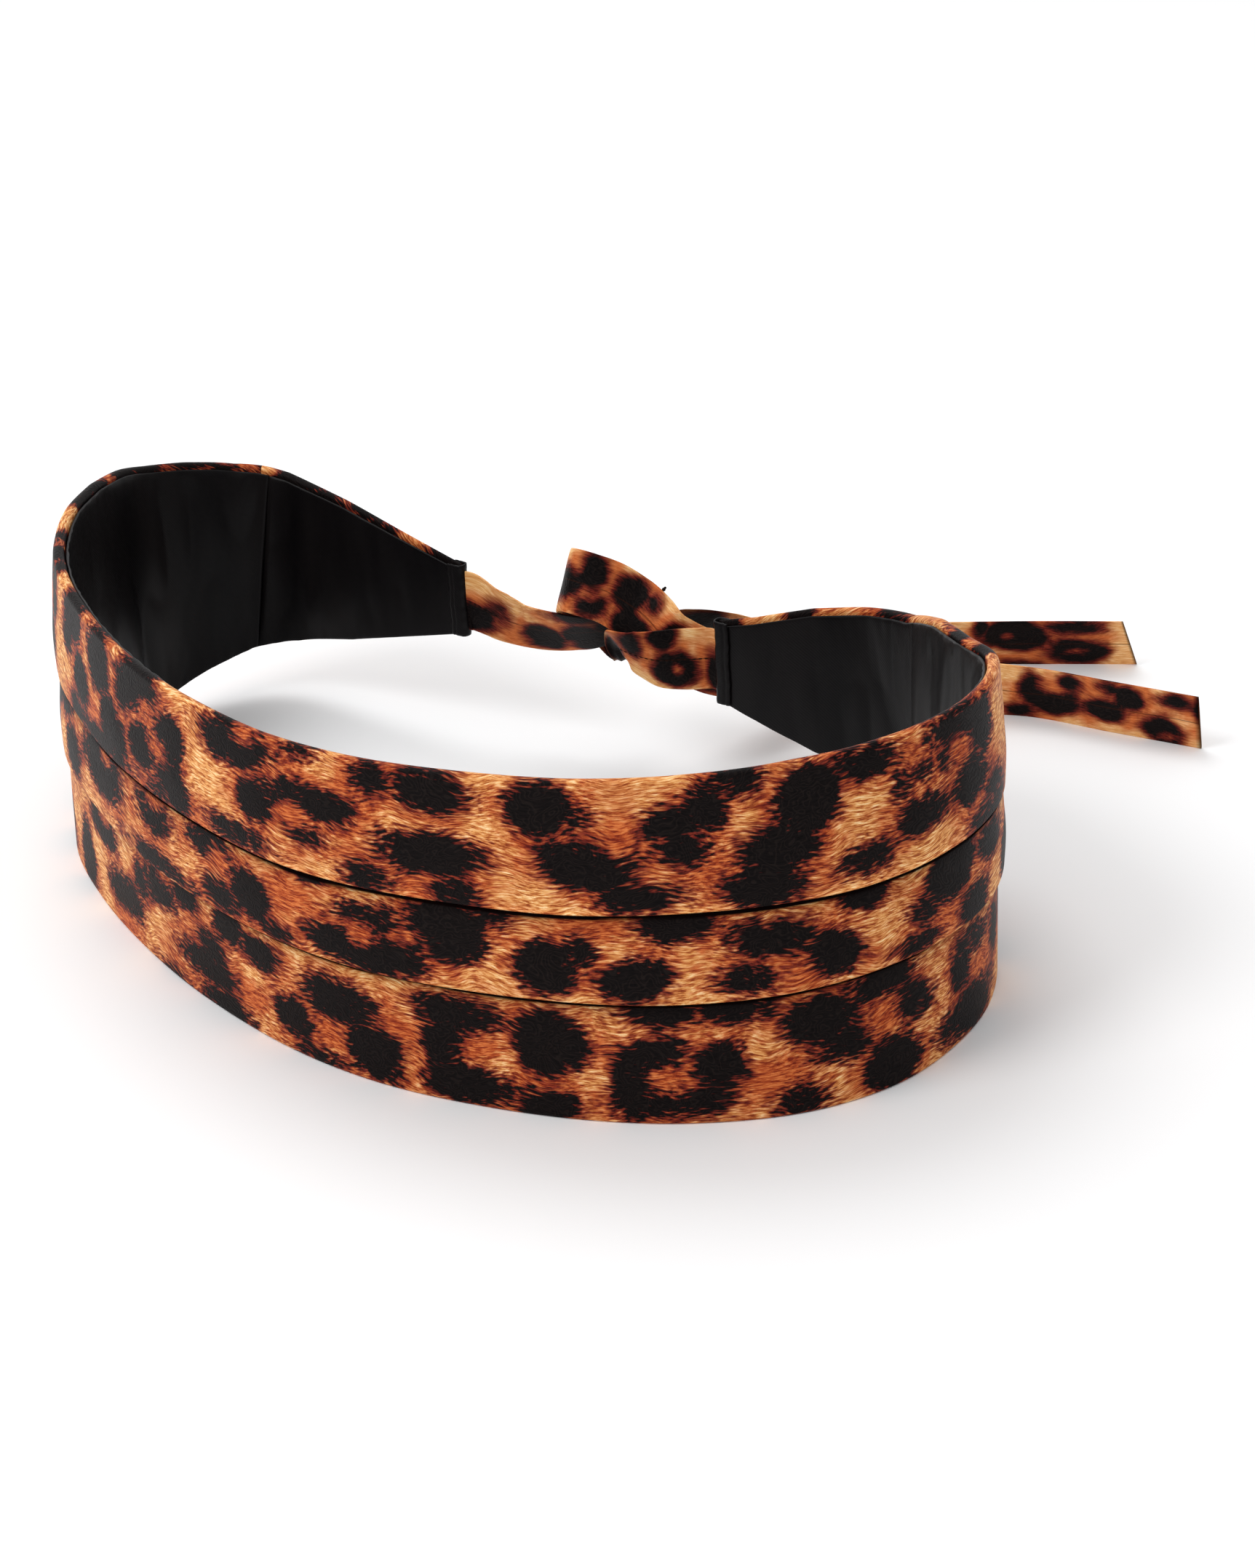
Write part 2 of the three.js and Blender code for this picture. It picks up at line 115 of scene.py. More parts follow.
# The front is one length of printed satin over a stiffening. It is folded into two knife pleats that open
# downwards, and its upper and lower edges are rolled over and turned in behind.
MM = 0.001
BAND_WIDTH = 388 * MM
BAND_DEPTH = 278 * MM
FRONT_HEIGHT = 120 * MM
SIDE_SEAMS = (0.106, 0.905)
HEM_WIDTH = 4.2 * MM
END_HEM_WIDTH = 1.6 * MM
HEM_TURN = 10 * MM
HEM_ROLL = 2.2 * MM
LOWER_PLEAT = 0.366
UPPER_PLEAT = 0.62
PLEAT_TUCK = 11 * MM
PLEAT_STAND = 2.0 * MM     # how far a pleat's fold stands out from the cloth below it
PLEAT_FLATTENS = 22 * MM   # how far from a side seam it starts to lie down, to be sewn flat
SATIN = 0.45 * MM
SEAM_GAP = 0.3 * MM
# The band's lower outer edge from the left end round the front to the right end: across and back as
# shares of the band's width and depth, and foot, crown and lean as shares of its height.
STATIONS = (
    (-0.311, 0.921, 0.377, 0.612, 0), (-0.382, 0.947, 0.316, 0.672, 0),
    (-0.456, 0.975, 0.252, 0.736, 0), (-0.529, 0.998, 0.200, 0.788, 0),
    (-0.559, 0.996, 0.184, 0.804, 0), (-0.587, 0.976, 0.171, 0.818, 0),
    (-0.620, 0.920, 0.132, 0.857, 0), (-0.642, 0.862, 0.090, 0.883, 0),
    (-0.648, 0.808, 0.055, 0.912, 0), (-0.641, 0.721, 0.020, 0.938, 0),
    (-0.628, 0.627, 0.004, 0.947, -0.01), (-0.603, 0.532, 0, 0.948, -0.024),
    (-0.563, 0.432, 0, 0.948, -0.036), (-0.485, 0.318, 0, 0.951, -0.018),
    (-0.395, 0.216, 0, 0.956, 0.008), (-0.298, 0.127, 0, 0.958, 0.022),
    (-0.182, 0.048, 0, 0.964, 0.028), (-0.090, 0.011, 0, 0.969, 0.018),
    (0, 0, 0, 0.976, 0.008), (0.103, 0.010, 0, 0.984, 0),
    (0.192, 0.045, 0, 0.990, -0.022), (0.272, 0.112, 0, 0.998, -0.035),
    (0.325, 0.207, 0, 0.999, -0.020), (0.348, 0.318, 0, 0.993, 0.010),
    (0.350, 0.420, 0, 0.985, 0.020), (0.331, 0.521, 0.010, 0.952, 0.008),
    (0.295, 0.590, 0.047, 0.920, 0), (0.250, 0.675, 0.103, 0.877, 0),
    (0.205, 0.752, 0.180, 0.800, 0), (0.149, 0.794, 0.223, 0.765, 0),
    (0.089, 0.808, 0.262, 0.725, 0), (0.028, 0.818, 0.325, 0.662, 0),
    (-0.012, 0.830, 0.363, 0.625, 0),
)


def smooth_line(points, count, centripetal=True):
    """Evenly spaced samples of a smooth curve through the points, one step between two points at a time."""
    points = np.asarray(points, float)
    padded = np.vstack([2 * points[0] - points[1], points, 2 * points[-1] - points[-2]])
    places = np.linspace(0, len(points) - 1, count)
    index = np.minimum(places.astype(int), len(points) - 2)
    w = (places - index)[:, None]
    p0, p1, p2, p3 = (padded[index + k] for k in range(4))
    if centripetal:
        spans = [np.sqrt(np.linalg.norm(b - a, axis=1))[:, None] for a, b in ((p0, p1), (p1, p2), (p2, p3))]
        d0, d1, d2 = (np.maximum(span, 1e-9) for span in spans)
        out = ((p1 - p0) / d0 - (p2 - p0) / (d0 + d1) + (p2 - p1) / d1) * d1
        into = ((p2 - p1) / d1 - (p3 - p1) / (d1 + d2) + (p3 - p2) / d2) * d1
    else:
        out, into = (p2 - p0) / 2, (p3 - p1) / 2
    return (p1 + out * w + (3 * (p2 - p1) - 2 * out - into) * w ** 2
            + (2 * (p1 - p2) + out + into) * w ** 3)


SAMPLES = 6401
station = np.array(STATIONS, float)
plan = smooth_line(station[:, :2] * (BAND_WIDTH, BAND_DEPTH) - (0, HEM_WIDTH / 2), SAMPLES)
walked = np.concatenate([[0], np.cumsum(np.linalg.norm(np.diff(plan, axis=0), axis=1))])
BAND_LENGTH = walked[-1]


class BandPlace:
    """Columns of the band at distances along it: each one's place, directions, edges and hem width."""

    def __init__(self, along):
        self.along = np.asarray(along, float)
        place = np.interp(self.along, walked, np.arange(SAMPLES))
        row = place * (len(STATIONS) - 1) / (SAMPLES - 1)
        slope = np.gradient(plan, axis=0)
        self.point = np.stack([np.interp(place, np.arange(SAMPLES), plan[:, k]) for k in (0, 1)], 1)
        forward = np.stack([np.interp(place, np.arange(SAMPLES), slope[:, k]) for k in (0, 1)], 1)
        self.forward = forward / np.linalg.norm(forward, axis=1)[:, None]
        self.outward = np.stack([self.forward[:, 1], -self.forward[:, 0]], 1)
        self.foot, self.crown, self.lean = (
            np.interp(row, np.arange(len(STATIONS)), station[:, k]) * FRONT_HEIGHT for k in (2, 3, 4))
        share = self.along / BAND_LENGTH
        self.fullness = np.minimum(np.minimum(share / SIDE_SEAMS[0], (1 - share) / (1 - SIDE_SEAMS[1])), 1)
        self.hem = END_HEM_WIDTH + (HEM_WIDTH - END_HEM_WIDTH) * self.fullness

    def wall(self, outside, height):
        """Points so far outside the lower edge's line, at a height over the floor."""
        lean = self.lean * (height - self.foot) / (self.crown - self.foot)
        flat = self.point + self.outward * (outside + lean)[:, None]
        return np.column_stack([flat, height])


def waves(along, up, size, seed):
    """Smooth irregular waves from -1 to 1 over cloth, about one size across."""
    return np.array([noise.noise(Vector((a / size, b / size, seed * 7.3)))
                     for a, b in zip(along.ravel(), up.ravel())]).reshape(along.shape) * 1.6


def cloth(name, rows, place, fields=None, closed=False):
    """A flat gridded length of cloth, bent into place row by row. rows are the columns' points."""
    bm = bmesh.new()
    bmesh.ops.create_grid(bm, x_segments=rows.shape[1] - 1, y_segments=rows.shape[0] - 1, size=0.5)
    mesh = bpy.data.meshes.new(name)
    bm.to_mesh(mesh)
    bm.free()
    flat = np.empty(len(mesh.vertices) * 3)
    mesh.vertices.foreach_get("co", flat)
    flat = flat.reshape(-1, 3) + 0.5
    column = np.rint(flat[:, 0] * (rows.shape[1] - 1)).astype(int)
    row = np.rint(flat[:, 1] * (rows.shape[0] - 1)).astype(int)
    mesh.vertices.foreach_set("co", rows[row, column].ravel())
    corners = np.empty(len(mesh.loops), int)
    mesh.loops.foreach_get("vertex_index", corners)
    layer = mesh.uv_layers.new(name="cloth")
    layer.data.foreach_set("uv", place[row, column][corners].ravel())
    for field, values in (fields or {}).items():
        mesh.attributes.new(field, "FLOAT", "POINT").data.foreach_set("value", values[row, column])
    if closed:
        bm = bmesh.new()
        bm.from_mesh(mesh)
        bmesh.ops.remove_doubles(bm, verts=bm.verts, dist=0.02 * MM)
        bm.to_mesh(mesh)
        bm.free()
    mesh.polygons.foreach_set("use_smooth", [True] * len(mesh.polygons))
    piece = bpy.data.objects.new(name, mesh)
    bpy.context.scene.collection.objects.link(piece)
    return piece


def thicken(piece, thickness):
    """The cloth's body behind its right side."""
    wall = piece.modifiers.new("body", "SOLIDIFY")
    wall.thickness = thickness
    wall.offset = -1
    wall.use_even_offset = True


def quarter(start, end, steps, bulge):
    """Points of a rounded corner between two (outside, height) points; bulge is its control point."""
    points = []
    for step in range(1, steps + 1):
        t = step / steps
        points.append(tuple((1 - t) ** 2 * start[k] + 2 * t * (1 - t) * bulge[k] + t * t * end[k]
                            for k in (0, 1)))
    return points


def straight(start, end, steps):
    """Evenly spaced points of a straight stretch, after its start."""
    shares = [step / steps for step in range(1, steps + 1)]
    return [tuple(start[k] + (end[k] - start[k]) * share for k in (0, 1)) for share in shares]


def lower_roll(columns):
    """The cloth's right side from the turned-in edge down round the foot to the outside."""
    hem, foot = columns.hem, columns.foot
    bend = np.minimum(1.2 * MM, 0.45 * hem)
    path = [(-hem, foot + HEM_TURN)]
    path += straight(path[-1], (-hem, foot + bend), 4)
    path += quarter(path[-1], (-hem + bend, foot), 4, (-hem, foot))
    path += straight(path[-1], (-bend, foot), 1)
    path += quarter(path[-1], (0 * hem, foot + bend), 4, (0 * hem, foot))
    return path


def upper_roll(columns):
    """From the outside below the crown, over the rolled edge, and down behind."""
    hem, crown = columns.hem, columns.crown
    path = []
    for step in range(1, 15):
        turn = math.pi * step / 15
        path.append((-hem / 2 + hem / 2 * math.cos(turn),
                     crown - HEM_ROLL + HEM_ROLL * math.sin(turn) ** 0.8))
    path += [(-hem, crown - HEM_ROLL)]
    path += straight(path[-1], (-hem, crown - HEM_TURN), 4)
    return path


def pleat(fold, next_fold, rise, stand):
    """Behind the fold and round its lower edge, then up the pleat's belly to behind the next fold."""
    fold_top = fold + PLEAT_TUCK
    path = [(0.05 * stand, fold_top), (0.175 * stand, fold_top + 0.35 * MM), (0.3 * stand, fold_top)]
    path += straight(path[-1], (0.375 * stand, fold + 1.3 * MM), 5)
    path += quarter(path[-1], (0.6 * stand, fold), 4, (0.4 * stand, fold))
    path += quarter(path[-1], (stand, fold + 0.8 * MM), 5, (stand, fold))
    start = path[-1][1]
    for step in range(1, rise + 1):
        t = step / rise
        belly = 1 - max((t - 0.25) / 0.75, 0) ** 1.6
        swell = 0.15 * math.sin(math.pi * min(t / 0.5, 1))
        path.append((stand * (1 + swell) * belly, start + (next_fold - start) * t))
    return path


# Where each dark spot of the print lies on the front, in millimetres: the tier, counted from the top, the
# distance along the band, the height over the floor, and its half width and half height.
SPOTS = (
    (1, 386, 109, 15, 8), (1, 376, 103, 6, 7), (1, 410, 98, 9, 8), (1, 389, 88, 9, 7), (1, 410, 82, 10, 9),
    (1, 404, 75, 11, 4), (1, 448, 109, 17, 7), (1, 459, 92, 7, 7), (1, 472, 99, 12, 4), (1, 489, 98, 9, 5),
    (1, 480, 87, 7, 3), (1, 448, 77, 12, 4), (1, 480, 116, 5, 2), (1, 508, 111, 6, 5), (1, 528, 111, 13, 7),
    (1, 527, 90, 17, 7), (1, 505, 77, 9, 4), (1, 535, 77, 7, 5), (1, 564, 109, 10, 8), (1, 575, 106, 5, 4),
    (1, 579, 91, 14, 8), (1, 595, 80, 11, 5), (1, 604, 104, 8, 6), (1, 608, 96, 7, 5), (1, 615, 109, 7, 7),
    (1, 627, 116, 7, 5), (1, 648, 108, 11, 10), (1, 637, 93, 12, 8), (1, 633, 82, 12, 7), (1, 670, 116, 9, 5),
    (1, 666, 84, 8, 5), (1, 682, 103, 4, 5), (1, 691, 105, 4, 3), (1, 691, 92, 10, 6), (1, 709, 115, 12, 5),
    (1, 724, 108, 8, 9), (1, 715, 94, 10, 7), (1, 702, 105, 4, 4), (1, 733, 84, 8, 4), (1, 732, 76, 14, 6),
    (1, 368, 80, 7, 9), (1, 315, 109, 12, 8), (1, 308, 99, 7, 6), (1, 349, 104, 12, 11), (1, 328, 89, 9, 9),
    (1, 320, 75, 9, 5), (1, 360, 85, 9, 10), (1, 348, 75, 22, 3),
    (2, 391, 64, 12, 6), (2, 428, 67, 11, 6), (2, 449, 55, 10, 8), (2, 433, 50, 10, 6), (2, 464, 46, 5, 3),
    (2, 481, 73, 6, 3), (2, 501, 62, 11, 5), (2, 500, 50, 20, 7), (2, 532, 63, 13, 11), (2, 545, 71, 7, 5),
    (2, 563, 54, 9, 9), (2, 575, 61, 5, 5), (2, 604, 72, 11, 7), (2, 592, 52, 10, 7), (2, 634, 64, 12, 6),
    (2, 627, 51, 8, 4), (2, 655, 55, 8, 7), (2, 666, 73, 7, 6), (2, 704, 67, 12, 10), (2, 690, 58, 6, 4),
    (2, 687, 48, 7, 3), (2, 718, 49, 10, 8), (2, 733, 66, 10, 6), (2, 391, 45, 18, 3), (2, 343, 62, 20, 9),
    (2, 304, 53, 10, 9), (2, 294, 68, 9, 5), (2, 752, 52, 9, 8),
    (3, 383, 32, 13, 7), (3, 403, 39, 8, 6), (3, 419, 23, 8, 5), (3, 413, 14, 15, 6), (3, 431, 36, 8, 7),
    (3, 448, 32, 8, 5), (3, 424, 3, 15, 5), (3, 485, 27, 14, 7), (3, 463, 13, 9, 7), (3, 499, 11, 11, 9),
    (3, 472, 3, 9, 3), (3, 531, 32, 14, 6), (3, 525, 21, 7, 8), (3, 534, 8, 14, 7), (3, 563, 27, 12, 11),
    (3, 389, 1, 8, 2), (3, 596, 40, 11, 5), (3, 623, 41, 11, 5), (3, 596, 26, 10, 5), (3, 588, 13, 6, 11),
    (3, 597, 7, 7, 4), (3, 616, 21, 8, 7), (3, 610, 8, 9, 6), (3, 650, 31, 12, 8), (3, 656, 20, 9, 5),
    (3, 674, 40, 13, 5), (3, 687, 27, 8, 7), (3, 677, 9, 10, 9), (3, 643, 5, 8, 5), (3, 723, 34, 13, 5),
    (3, 711, 26, 5, 6), (3, 743, 27, 6, 8), (3, 720, 9, 20, 8), (3, 331, 34, 14, 7), (3, 304, 13, 9, 12),
    (3, 348, 16, 16, 7), (3, 368, 30, 5, 6), (3, 560, 4, 9, 5),
)
READ_SPOTS = (288 * MM, 756 * MM)   # the stretch of the band that these rows cover
FURTHER_SPOTS = (80 * MM, 870 * MM)
SPOT_MARGIN = 12 * MM
TIER_TOPS = {1: 120 * MM, 2: 76 * MM, 3: 46 * MM}
TIER_BOTTOMS = {1: 72 * MM, 2: 42 * MM, 3: 0}
# The orange hearts between the dark spots, by tier: along the band and height over the floor.
HEARTS = (
    (1, 393, 102), (1, 401, 91), (1, 475, 92), (1, 521, 79), (1, 455, 114), (1, 710, 107), (1, 344, 84),
    (1, 500, 104), (1, 620, 88), (1, 590, 99), (1, 720, 84),
    (2, 391, 70), (2, 436, 63), (2, 517, 58), (2, 500, 56), (2, 642, 52), (2, 701, 52), (2, 347, 68),
    (2, 579, 70), (2, 470, 62),
    (3, 390, 40), (3, 480, 13), (3, 537, 22), (3, 602, 17), (3, 729, 22), (3, 672, 27), (3, 333, 39),
    (3, 348, 4), (3, 440, 12), (3, 508, 22), (3, 560, 12), (3, 636, 14),
)
HEART_SIZE = (9 * MM, 5.5 * MM)
TIE_FACES = 60 * MM     # how far apart a tie's two faces lie on its flat cloth


def scattered_spots(seed, low, high, bottom, top, size=1.0):
    """Rosettes for the rest of the cloth: rings of three or four spots with a gap on one side."""
    chance = random.Random(seed)
    spots = []
    step = 33 * MM * size
    rows_up = max(int(round((top - bottom) / (step * 0.72))), 1)
    for line in range(rows_up):
        along = low + chance.uniform(0, 0.5) * step
        while along < high:
            middle = (along + chance.uniform(-3, 3) * MM * size,
                      bottom + (top - bottom) * (line + 0.5) / rows_up + chance.uniform(-3, 3) * MM * size)
            turn = chance.uniform(0, 2 * math.pi)
            for lobe in range(chance.choice((2, 3, 3, 4))):
                angle = turn + lobe * chance.uniform(1.2, 1.7)
                ring = chance.uniform(6.5, 9) * MM * size
                spots.append((
                    middle[0] + 1.15 * ring * math.cos(angle), middle[1] + 0.8 * ring * math.sin(angle),
                    chance.uniform(5.5, 10) * MM * size, chance.uniform(4.5, 7) * MM * size))
            along += step * chance.uniform(0.9, 1.25)
    return spots


def spot_fields(along, up, spots, hearts=()):
    """How far each point is outside the dark spots, and outside what two spots share or a heart covers.
    The middle of a heart opens the spots under it."""
    nearest = np.full(along.shape, 1.0)
    second = np.full(along.shape, 1.0)
    for x, y, wide, high in spots:
        reach = np.hypot((along - x) / wide, (up - y) / high)
        edge = (reach - 1) * min(wide, high) * (0.5 + 0.5 * np.minimum(reach, 1))
        second = np.minimum(second, np.maximum(nearest, edge))
        nearest = np.minimum(nearest, edge)
    for x, y, wide, high in hearts:
        reach = np.hypot((along - x) / wide, (up - y) / high)
        second = np.minimum(second, 4 * MM + (reach - 1) * high)
        nearest = np.maximum(nearest, (0.85 - reach) * high)
    return nearest, second


def node(tree, kind, inputs=None, **settings):
    """Adds a shader node, and sets or links its inputs."""
    made = tree.nodes.new(kind)
    for setting, value in settings.items():
        setattr(made, setting, value)
    for socket, value in (inputs or {}).items():
        if isinstance(value, bpy.types.NodeSocket):
            tree.links.new(value, made.inputs[socket])
        else:
            made.inputs[socket].default_value = value
    return made


def ramp(tree, factor, stops):
    """A colour that runs through the stops, each a position and a colour, as the factor rises."""
    made = node(tree, "ShaderNodeValToRGB", {"Fac": factor})
    elements = made.color_ramp.elements
    while len(elements) < len(stops):
        elements.new(0.5)
    for element, (position, colour) in zip(elements, stops):
        element.position = position
        element.color = (*colour, 1)
    return made.outputs["Color"]


def printed_satin(name, edge_blur=1.3, fur=1.0, grow=0.5 * MM, halo_reach=5.5 * MM, pale=0, seamed=False):
    """Satin with a leopard print: streaky golden ground, orange hearts, red-brown fringes and dark spots,
    with painted shade and painted highlight read from the cloth.
    fur is how far the streaks show and fray the spots, grow how far the spots spread past their tables,
    halo_reach how far the red-brown runs, and pale how much lighter the ground is painted, as painted light.
    seamed adds the seam of a turned tube."""
    material = bpy.data.materials.new(name)
    material.use_nodes = True
    tree = material.node_tree
    shader = tree.nodes["Principled BSDF"]
    place = node(tree, "ShaderNodeUVMap", uv_map="cloth").outputs["UV"]

    def grain(scale, detail, seed, base=None, rough=0.55):
        moved = node(tree, "ShaderNodeMapping", {
            "Vector": base or place, "Location": (seed, seed * 0.7, 0), "Scale": (*scale, 1)})
        made = node(tree, "ShaderNodeTexNoise", {
            "Vector": moved.outputs["Vector"], "Scale": 1.0, "Detail": detail, "Roughness": rough},
            noise_dimensions="2D")
        return made.outputs["Fac"]

    def maths(operation, a, b, clamp=False):
        made = node(tree, "ShaderNodeMath", {0: a, 1: b}, operation=operation, use_clamp=clamp)
        return made.outputs[0]

    def vectors(operation, inputs):
        return node(tree, "ShaderNodeVectorMath", inputs, operation=operation).outputs[0]

    def between(value, low, high):
        made = node(tree, "ShaderNodeMapRange", {"Value": value, "From Min": low, "From Max": high},
                    interpolation_type="SMOOTHSTEP")
        return made.outputs["Result"]

    def blend(factor, a, b):
        made = node(tree, "ShaderNodeMix", {"Factor": factor}, data_type="RGBA")
        for socket, value in ((made.inputs[6], a), (made.inputs[7], b)):
            if isinstance(value, bpy.types.NodeSocket):
                tree.links.new(value, socket)
            else:
                socket.default_value = (*value, 1)
        return made.outputs[2]

    # The fur's lie wanders, so the streaks are read from a gently bent copy of the cloth.
    bend = node(tree, "ShaderNodeTexNoise", {"Vector": place, "Scale": 42.0, "Detail": 1.0},
                noise_dimensions="2D").outputs["Color"]
    centred = vectors("SUBTRACT", {0: bend, 1: (0.5, 0.5, 0.5)})
    lie = vectors("ADD", {0: place, 1: vectors("SCALE", {0: centred, "Scale": 9 * MM})})
    streak = grain((140, 900), 4, 3.1, lie)
    hair = grain((330, 2300), 3, 8.7, lie)
    tuft = grain((250, 1000), 1.6, 5.3, lie, 0.5)
    patch = grain((46, 70), 2, 1.7)

    # Painted shade and painted highlight come from an attribute of the cloth: above 0 is painted shade, below
    # 0 painted highlight.
    painted_light = node(tree, "ShaderNodeAttribute", attribute_name="painted_light").outputs["Fac"]
    nearest = node(tree, "ShaderNodeAttribute", attribute_name="spot").outputs["Fac"]
    second = node(tree, "ShaderNodeAttribute", attribute_name="gap").outputs["Fac"]
    ragged = maths("MULTIPLY", maths("SUBTRACT", tuft, 0.5), 8.5 * MM * fur)
    wander = maths("MULTIPLY", maths("SUBTRACT", patch, 0.5), 7 * MM)
    edge = maths("ADD", maths("ADD", nearest, ragged), wander)
    dark = between(edge, grow + 0.6 * MM * edge_blur, grow - 0.6 * MM * edge_blur)
    fringe = between(edge, grow + 3.3 * MM, grow + 0.1 * MM)
    halo = between(edge, grow + halo_reach, grow + 0.8 * MM)
    heart = between(maths("ADD", maths("ADD", second, ragged), wander), 0.0085, 0.0035)

    strokes = maths("SUBTRACT", maths("MULTIPLY", maths("ADD", streak, hair), 0.5), 0.5)
    mixed = maths("ADD", maths("MULTIPLY", strokes, 0.35 + 0.9 * fur), 0.5 + pale)
    ground = ramp(tree, mixed, (
        (0.35, (0.32, 0.070, 0.018)), (0.43, (0.54, 0.175, 0.045)),
        (0.50, (0.72, 0.310, 0.094)), (0.58, (0.85, 0.455, 0.175)), (0.67, (0.98, 0.700, 0.380))))
    warm = ramp(tree, mixed, (
        (0.36, (0.18, 0.018, 0.008)), (0.49, (0.44, 0.078, 0.020)), (0.63, (0.68, 0.195, 0.055))))
    tan = blend(maths("MULTIPLY", between(patch, 0.58, 0.40), 0.5), ground, warm)
    haloed = blend(maths("MULTIPLY", halo, 0.66), tan, warm)
    under = blend(heart, haloed, warm)
    fringed = blend(fringe, under, ramp(tree, hair, (
        (0.35, (0.070, 0.006, 0.006)), (0.7, (0.27, 0.034, 0.020)))))
    black = ramp(tree, hair, ((0.3, (0.0028, 0.0020, 0.0022)), (0.75, (0.0085, 0.0058, 0.0058))))
    spotted = blend(dark, fringed, black)

    # A very fine weave and the faint swirled figure of the cloth, which shows best on the dark spots.
    swirl = grain((80, 105), 2, 12.9, lie)
    rings = maths("SINE", maths("MULTIPLY", swirl, 95.0), 0.0)
    figured = blend(maths("MULTIPLY", between(rings, 0.2, 1.0), 0.006), spotted, (0.9, 0.62, 0.5))
    # Painted highlight: the colour is lifted where the attribute is below 0, on the pleats' lips.
    lip = maths("ADD", maths("MULTIPLY", maths("MINIMUM", painted_light, 0.0), -0.35), 1.0)
    lit = vectors("SCALE", {0: figured, "Scale": lip})
    # Painted shade: near black where the attribute is above 0, under pleats, in the knot and at tail tips.
    shaded = blend(maths("MULTIPLY", painted_light, 1.0, True), lit, (0.003, 0.0015, 0.0015))
    if seamed:
        # The seam along the middle of a turned tube, on both of its faces.
        across = node(tree, "ShaderNodeSeparateXYZ", {"Vector": place}).outputs["Y"]
        aside = maths("PINGPONG", maths("ADD", across, maths("MULTIPLY", wander, 0.25)), TIE_FACES / 2)
        seam = maths("MULTIPLY", between(aside, 0.40 * MM, 0.10 * MM), 0.6)
        shaded = blend(seam, shaded, (0.03, 0.008, 0.004))
    tree.links.new(shaded, shader.inputs["Base Color"])
    rough = node(tree, "ShaderNodeMapRange", {"Value": mixed, "To Min": 0.36, "To Max": 0.50})
    tree.links.new(rough.outputs["Result"], shader.inputs["Roughness"])
    weave = node(tree, "ShaderNodeTexWave", {"Vector": place, "Scale": 420.0, "Distortion": 0.6},
                 bands_direction="DIAGONAL").outputs["Fac"]
    relief = maths("ADD", maths("MULTIPLY", rings, 0.6), maths("ADD", maths("MULTIPLY", weave, 0.3), hair))
    bump = node(tree, "ShaderNodeBump", {"Height": relief, "Strength": 0.16, "Distance": 0.0004})
    tree.links.new(bump.outputs["Normal"], shader.inputs["Normal"])
    # The reflection is turned down where the painted shade lies.
    shine = maths("MULTIPLY", maths("SUBTRACT", 1.0, painted_light, True), 0.04)
    tree.links.new(shine, shader.inputs["Specular IOR Level"])
    return material


FRONT_COLUMNS = 268
front_ends = (SIDE_SEAMS[0] * BAND_LENGTH + SEAM_GAP / 2, SIDE_SEAMS[1] * BAND_LENGTH - SEAM_GAP / 2)
front_columns = BandPlace(np.linspace(*front_ends, FRONT_COLUMNS))
front_height = front_columns.crown - front_columns.foot
sway = waves(front_columns.along, 0 * front_columns.along, 70 * MM, 1) * 0.6 * MM
fold_low = front_columns.foot + LOWER_PLEAT * front_height + sway
fold_high = front_columns.foot + UPPER_PLEAT * front_height - sway

to_seam = np.minimum(front_columns.along - front_ends[0], front_ends[1] - front_columns.along)
pleat_stand = PLEAT_STAND * (0.3 + 0.7 * np.sin(np.pi / 2 * np.clip(to_seam / PLEAT_FLATTENS, 0, 1)))

front_path = lower_roll(front_columns)
front_path += straight(front_path[-1], (0 * fold_low, fold_low - 8 * MM), 10)
front_path += straight(front_path[-1], (0 * fold_low, fold_low + MM), 22)
front_path += straight(front_path[-1], (0 * fold_low, fold_low + PLEAT_TUCK - 0.5 * MM), 3)
tier_starts = [len(front_path)]
front_path += pleat(fold_low, fold_high + PLEAT_TUCK - 0.5 * MM, 58, pleat_stand)
tier_starts.append(len(front_path))
front_path += pleat(fold_high, front_columns.crown - HEM_ROLL, 24, pleat_stand)
front_path += upper_roll(front_columns)


def band_rows(columns, path, ruffle=0.35 * MM, seed=2):
    """The bent rows of a length of band cloth, with its soft unevenness, and each point's cloth place."""
    outside = np.array([np.broadcast_to(p[0], columns.along.shape) for p in path])
    height = np.array([np.broadcast_to(p[1], columns.along.shape) for p in path])
    along = np.broadcast_to(columns.along, outside.shape)
    inside_wall = (height - columns.foot) / (columns.crown - columns.foot)
    loose = np.clip(np.sin(np.pi * np.clip(inside_wall, 0, 1)), 0, 1)
    outside = outside + ruffle * waves(along, height, 45 * MM, seed) * loose
    rows = np.array([columns.wall(o, h) for o, h in zip(outside, height)])
    steps = np.hypot(np.diff(outside, axis=0), np.diff(height, axis=0))
    up = np.vstack([np.zeros(len(columns.along)), np.cumsum(steps, axis=0)])
    return rows, along, height, np.stack([along, up], 2)


front_rows, front_along, front_up, front_cloth = band_rows(front_columns, front_path)
tier_of_row = 3 - np.searchsorted(tier_starts, np.arange(len(front_rows)), side="right")


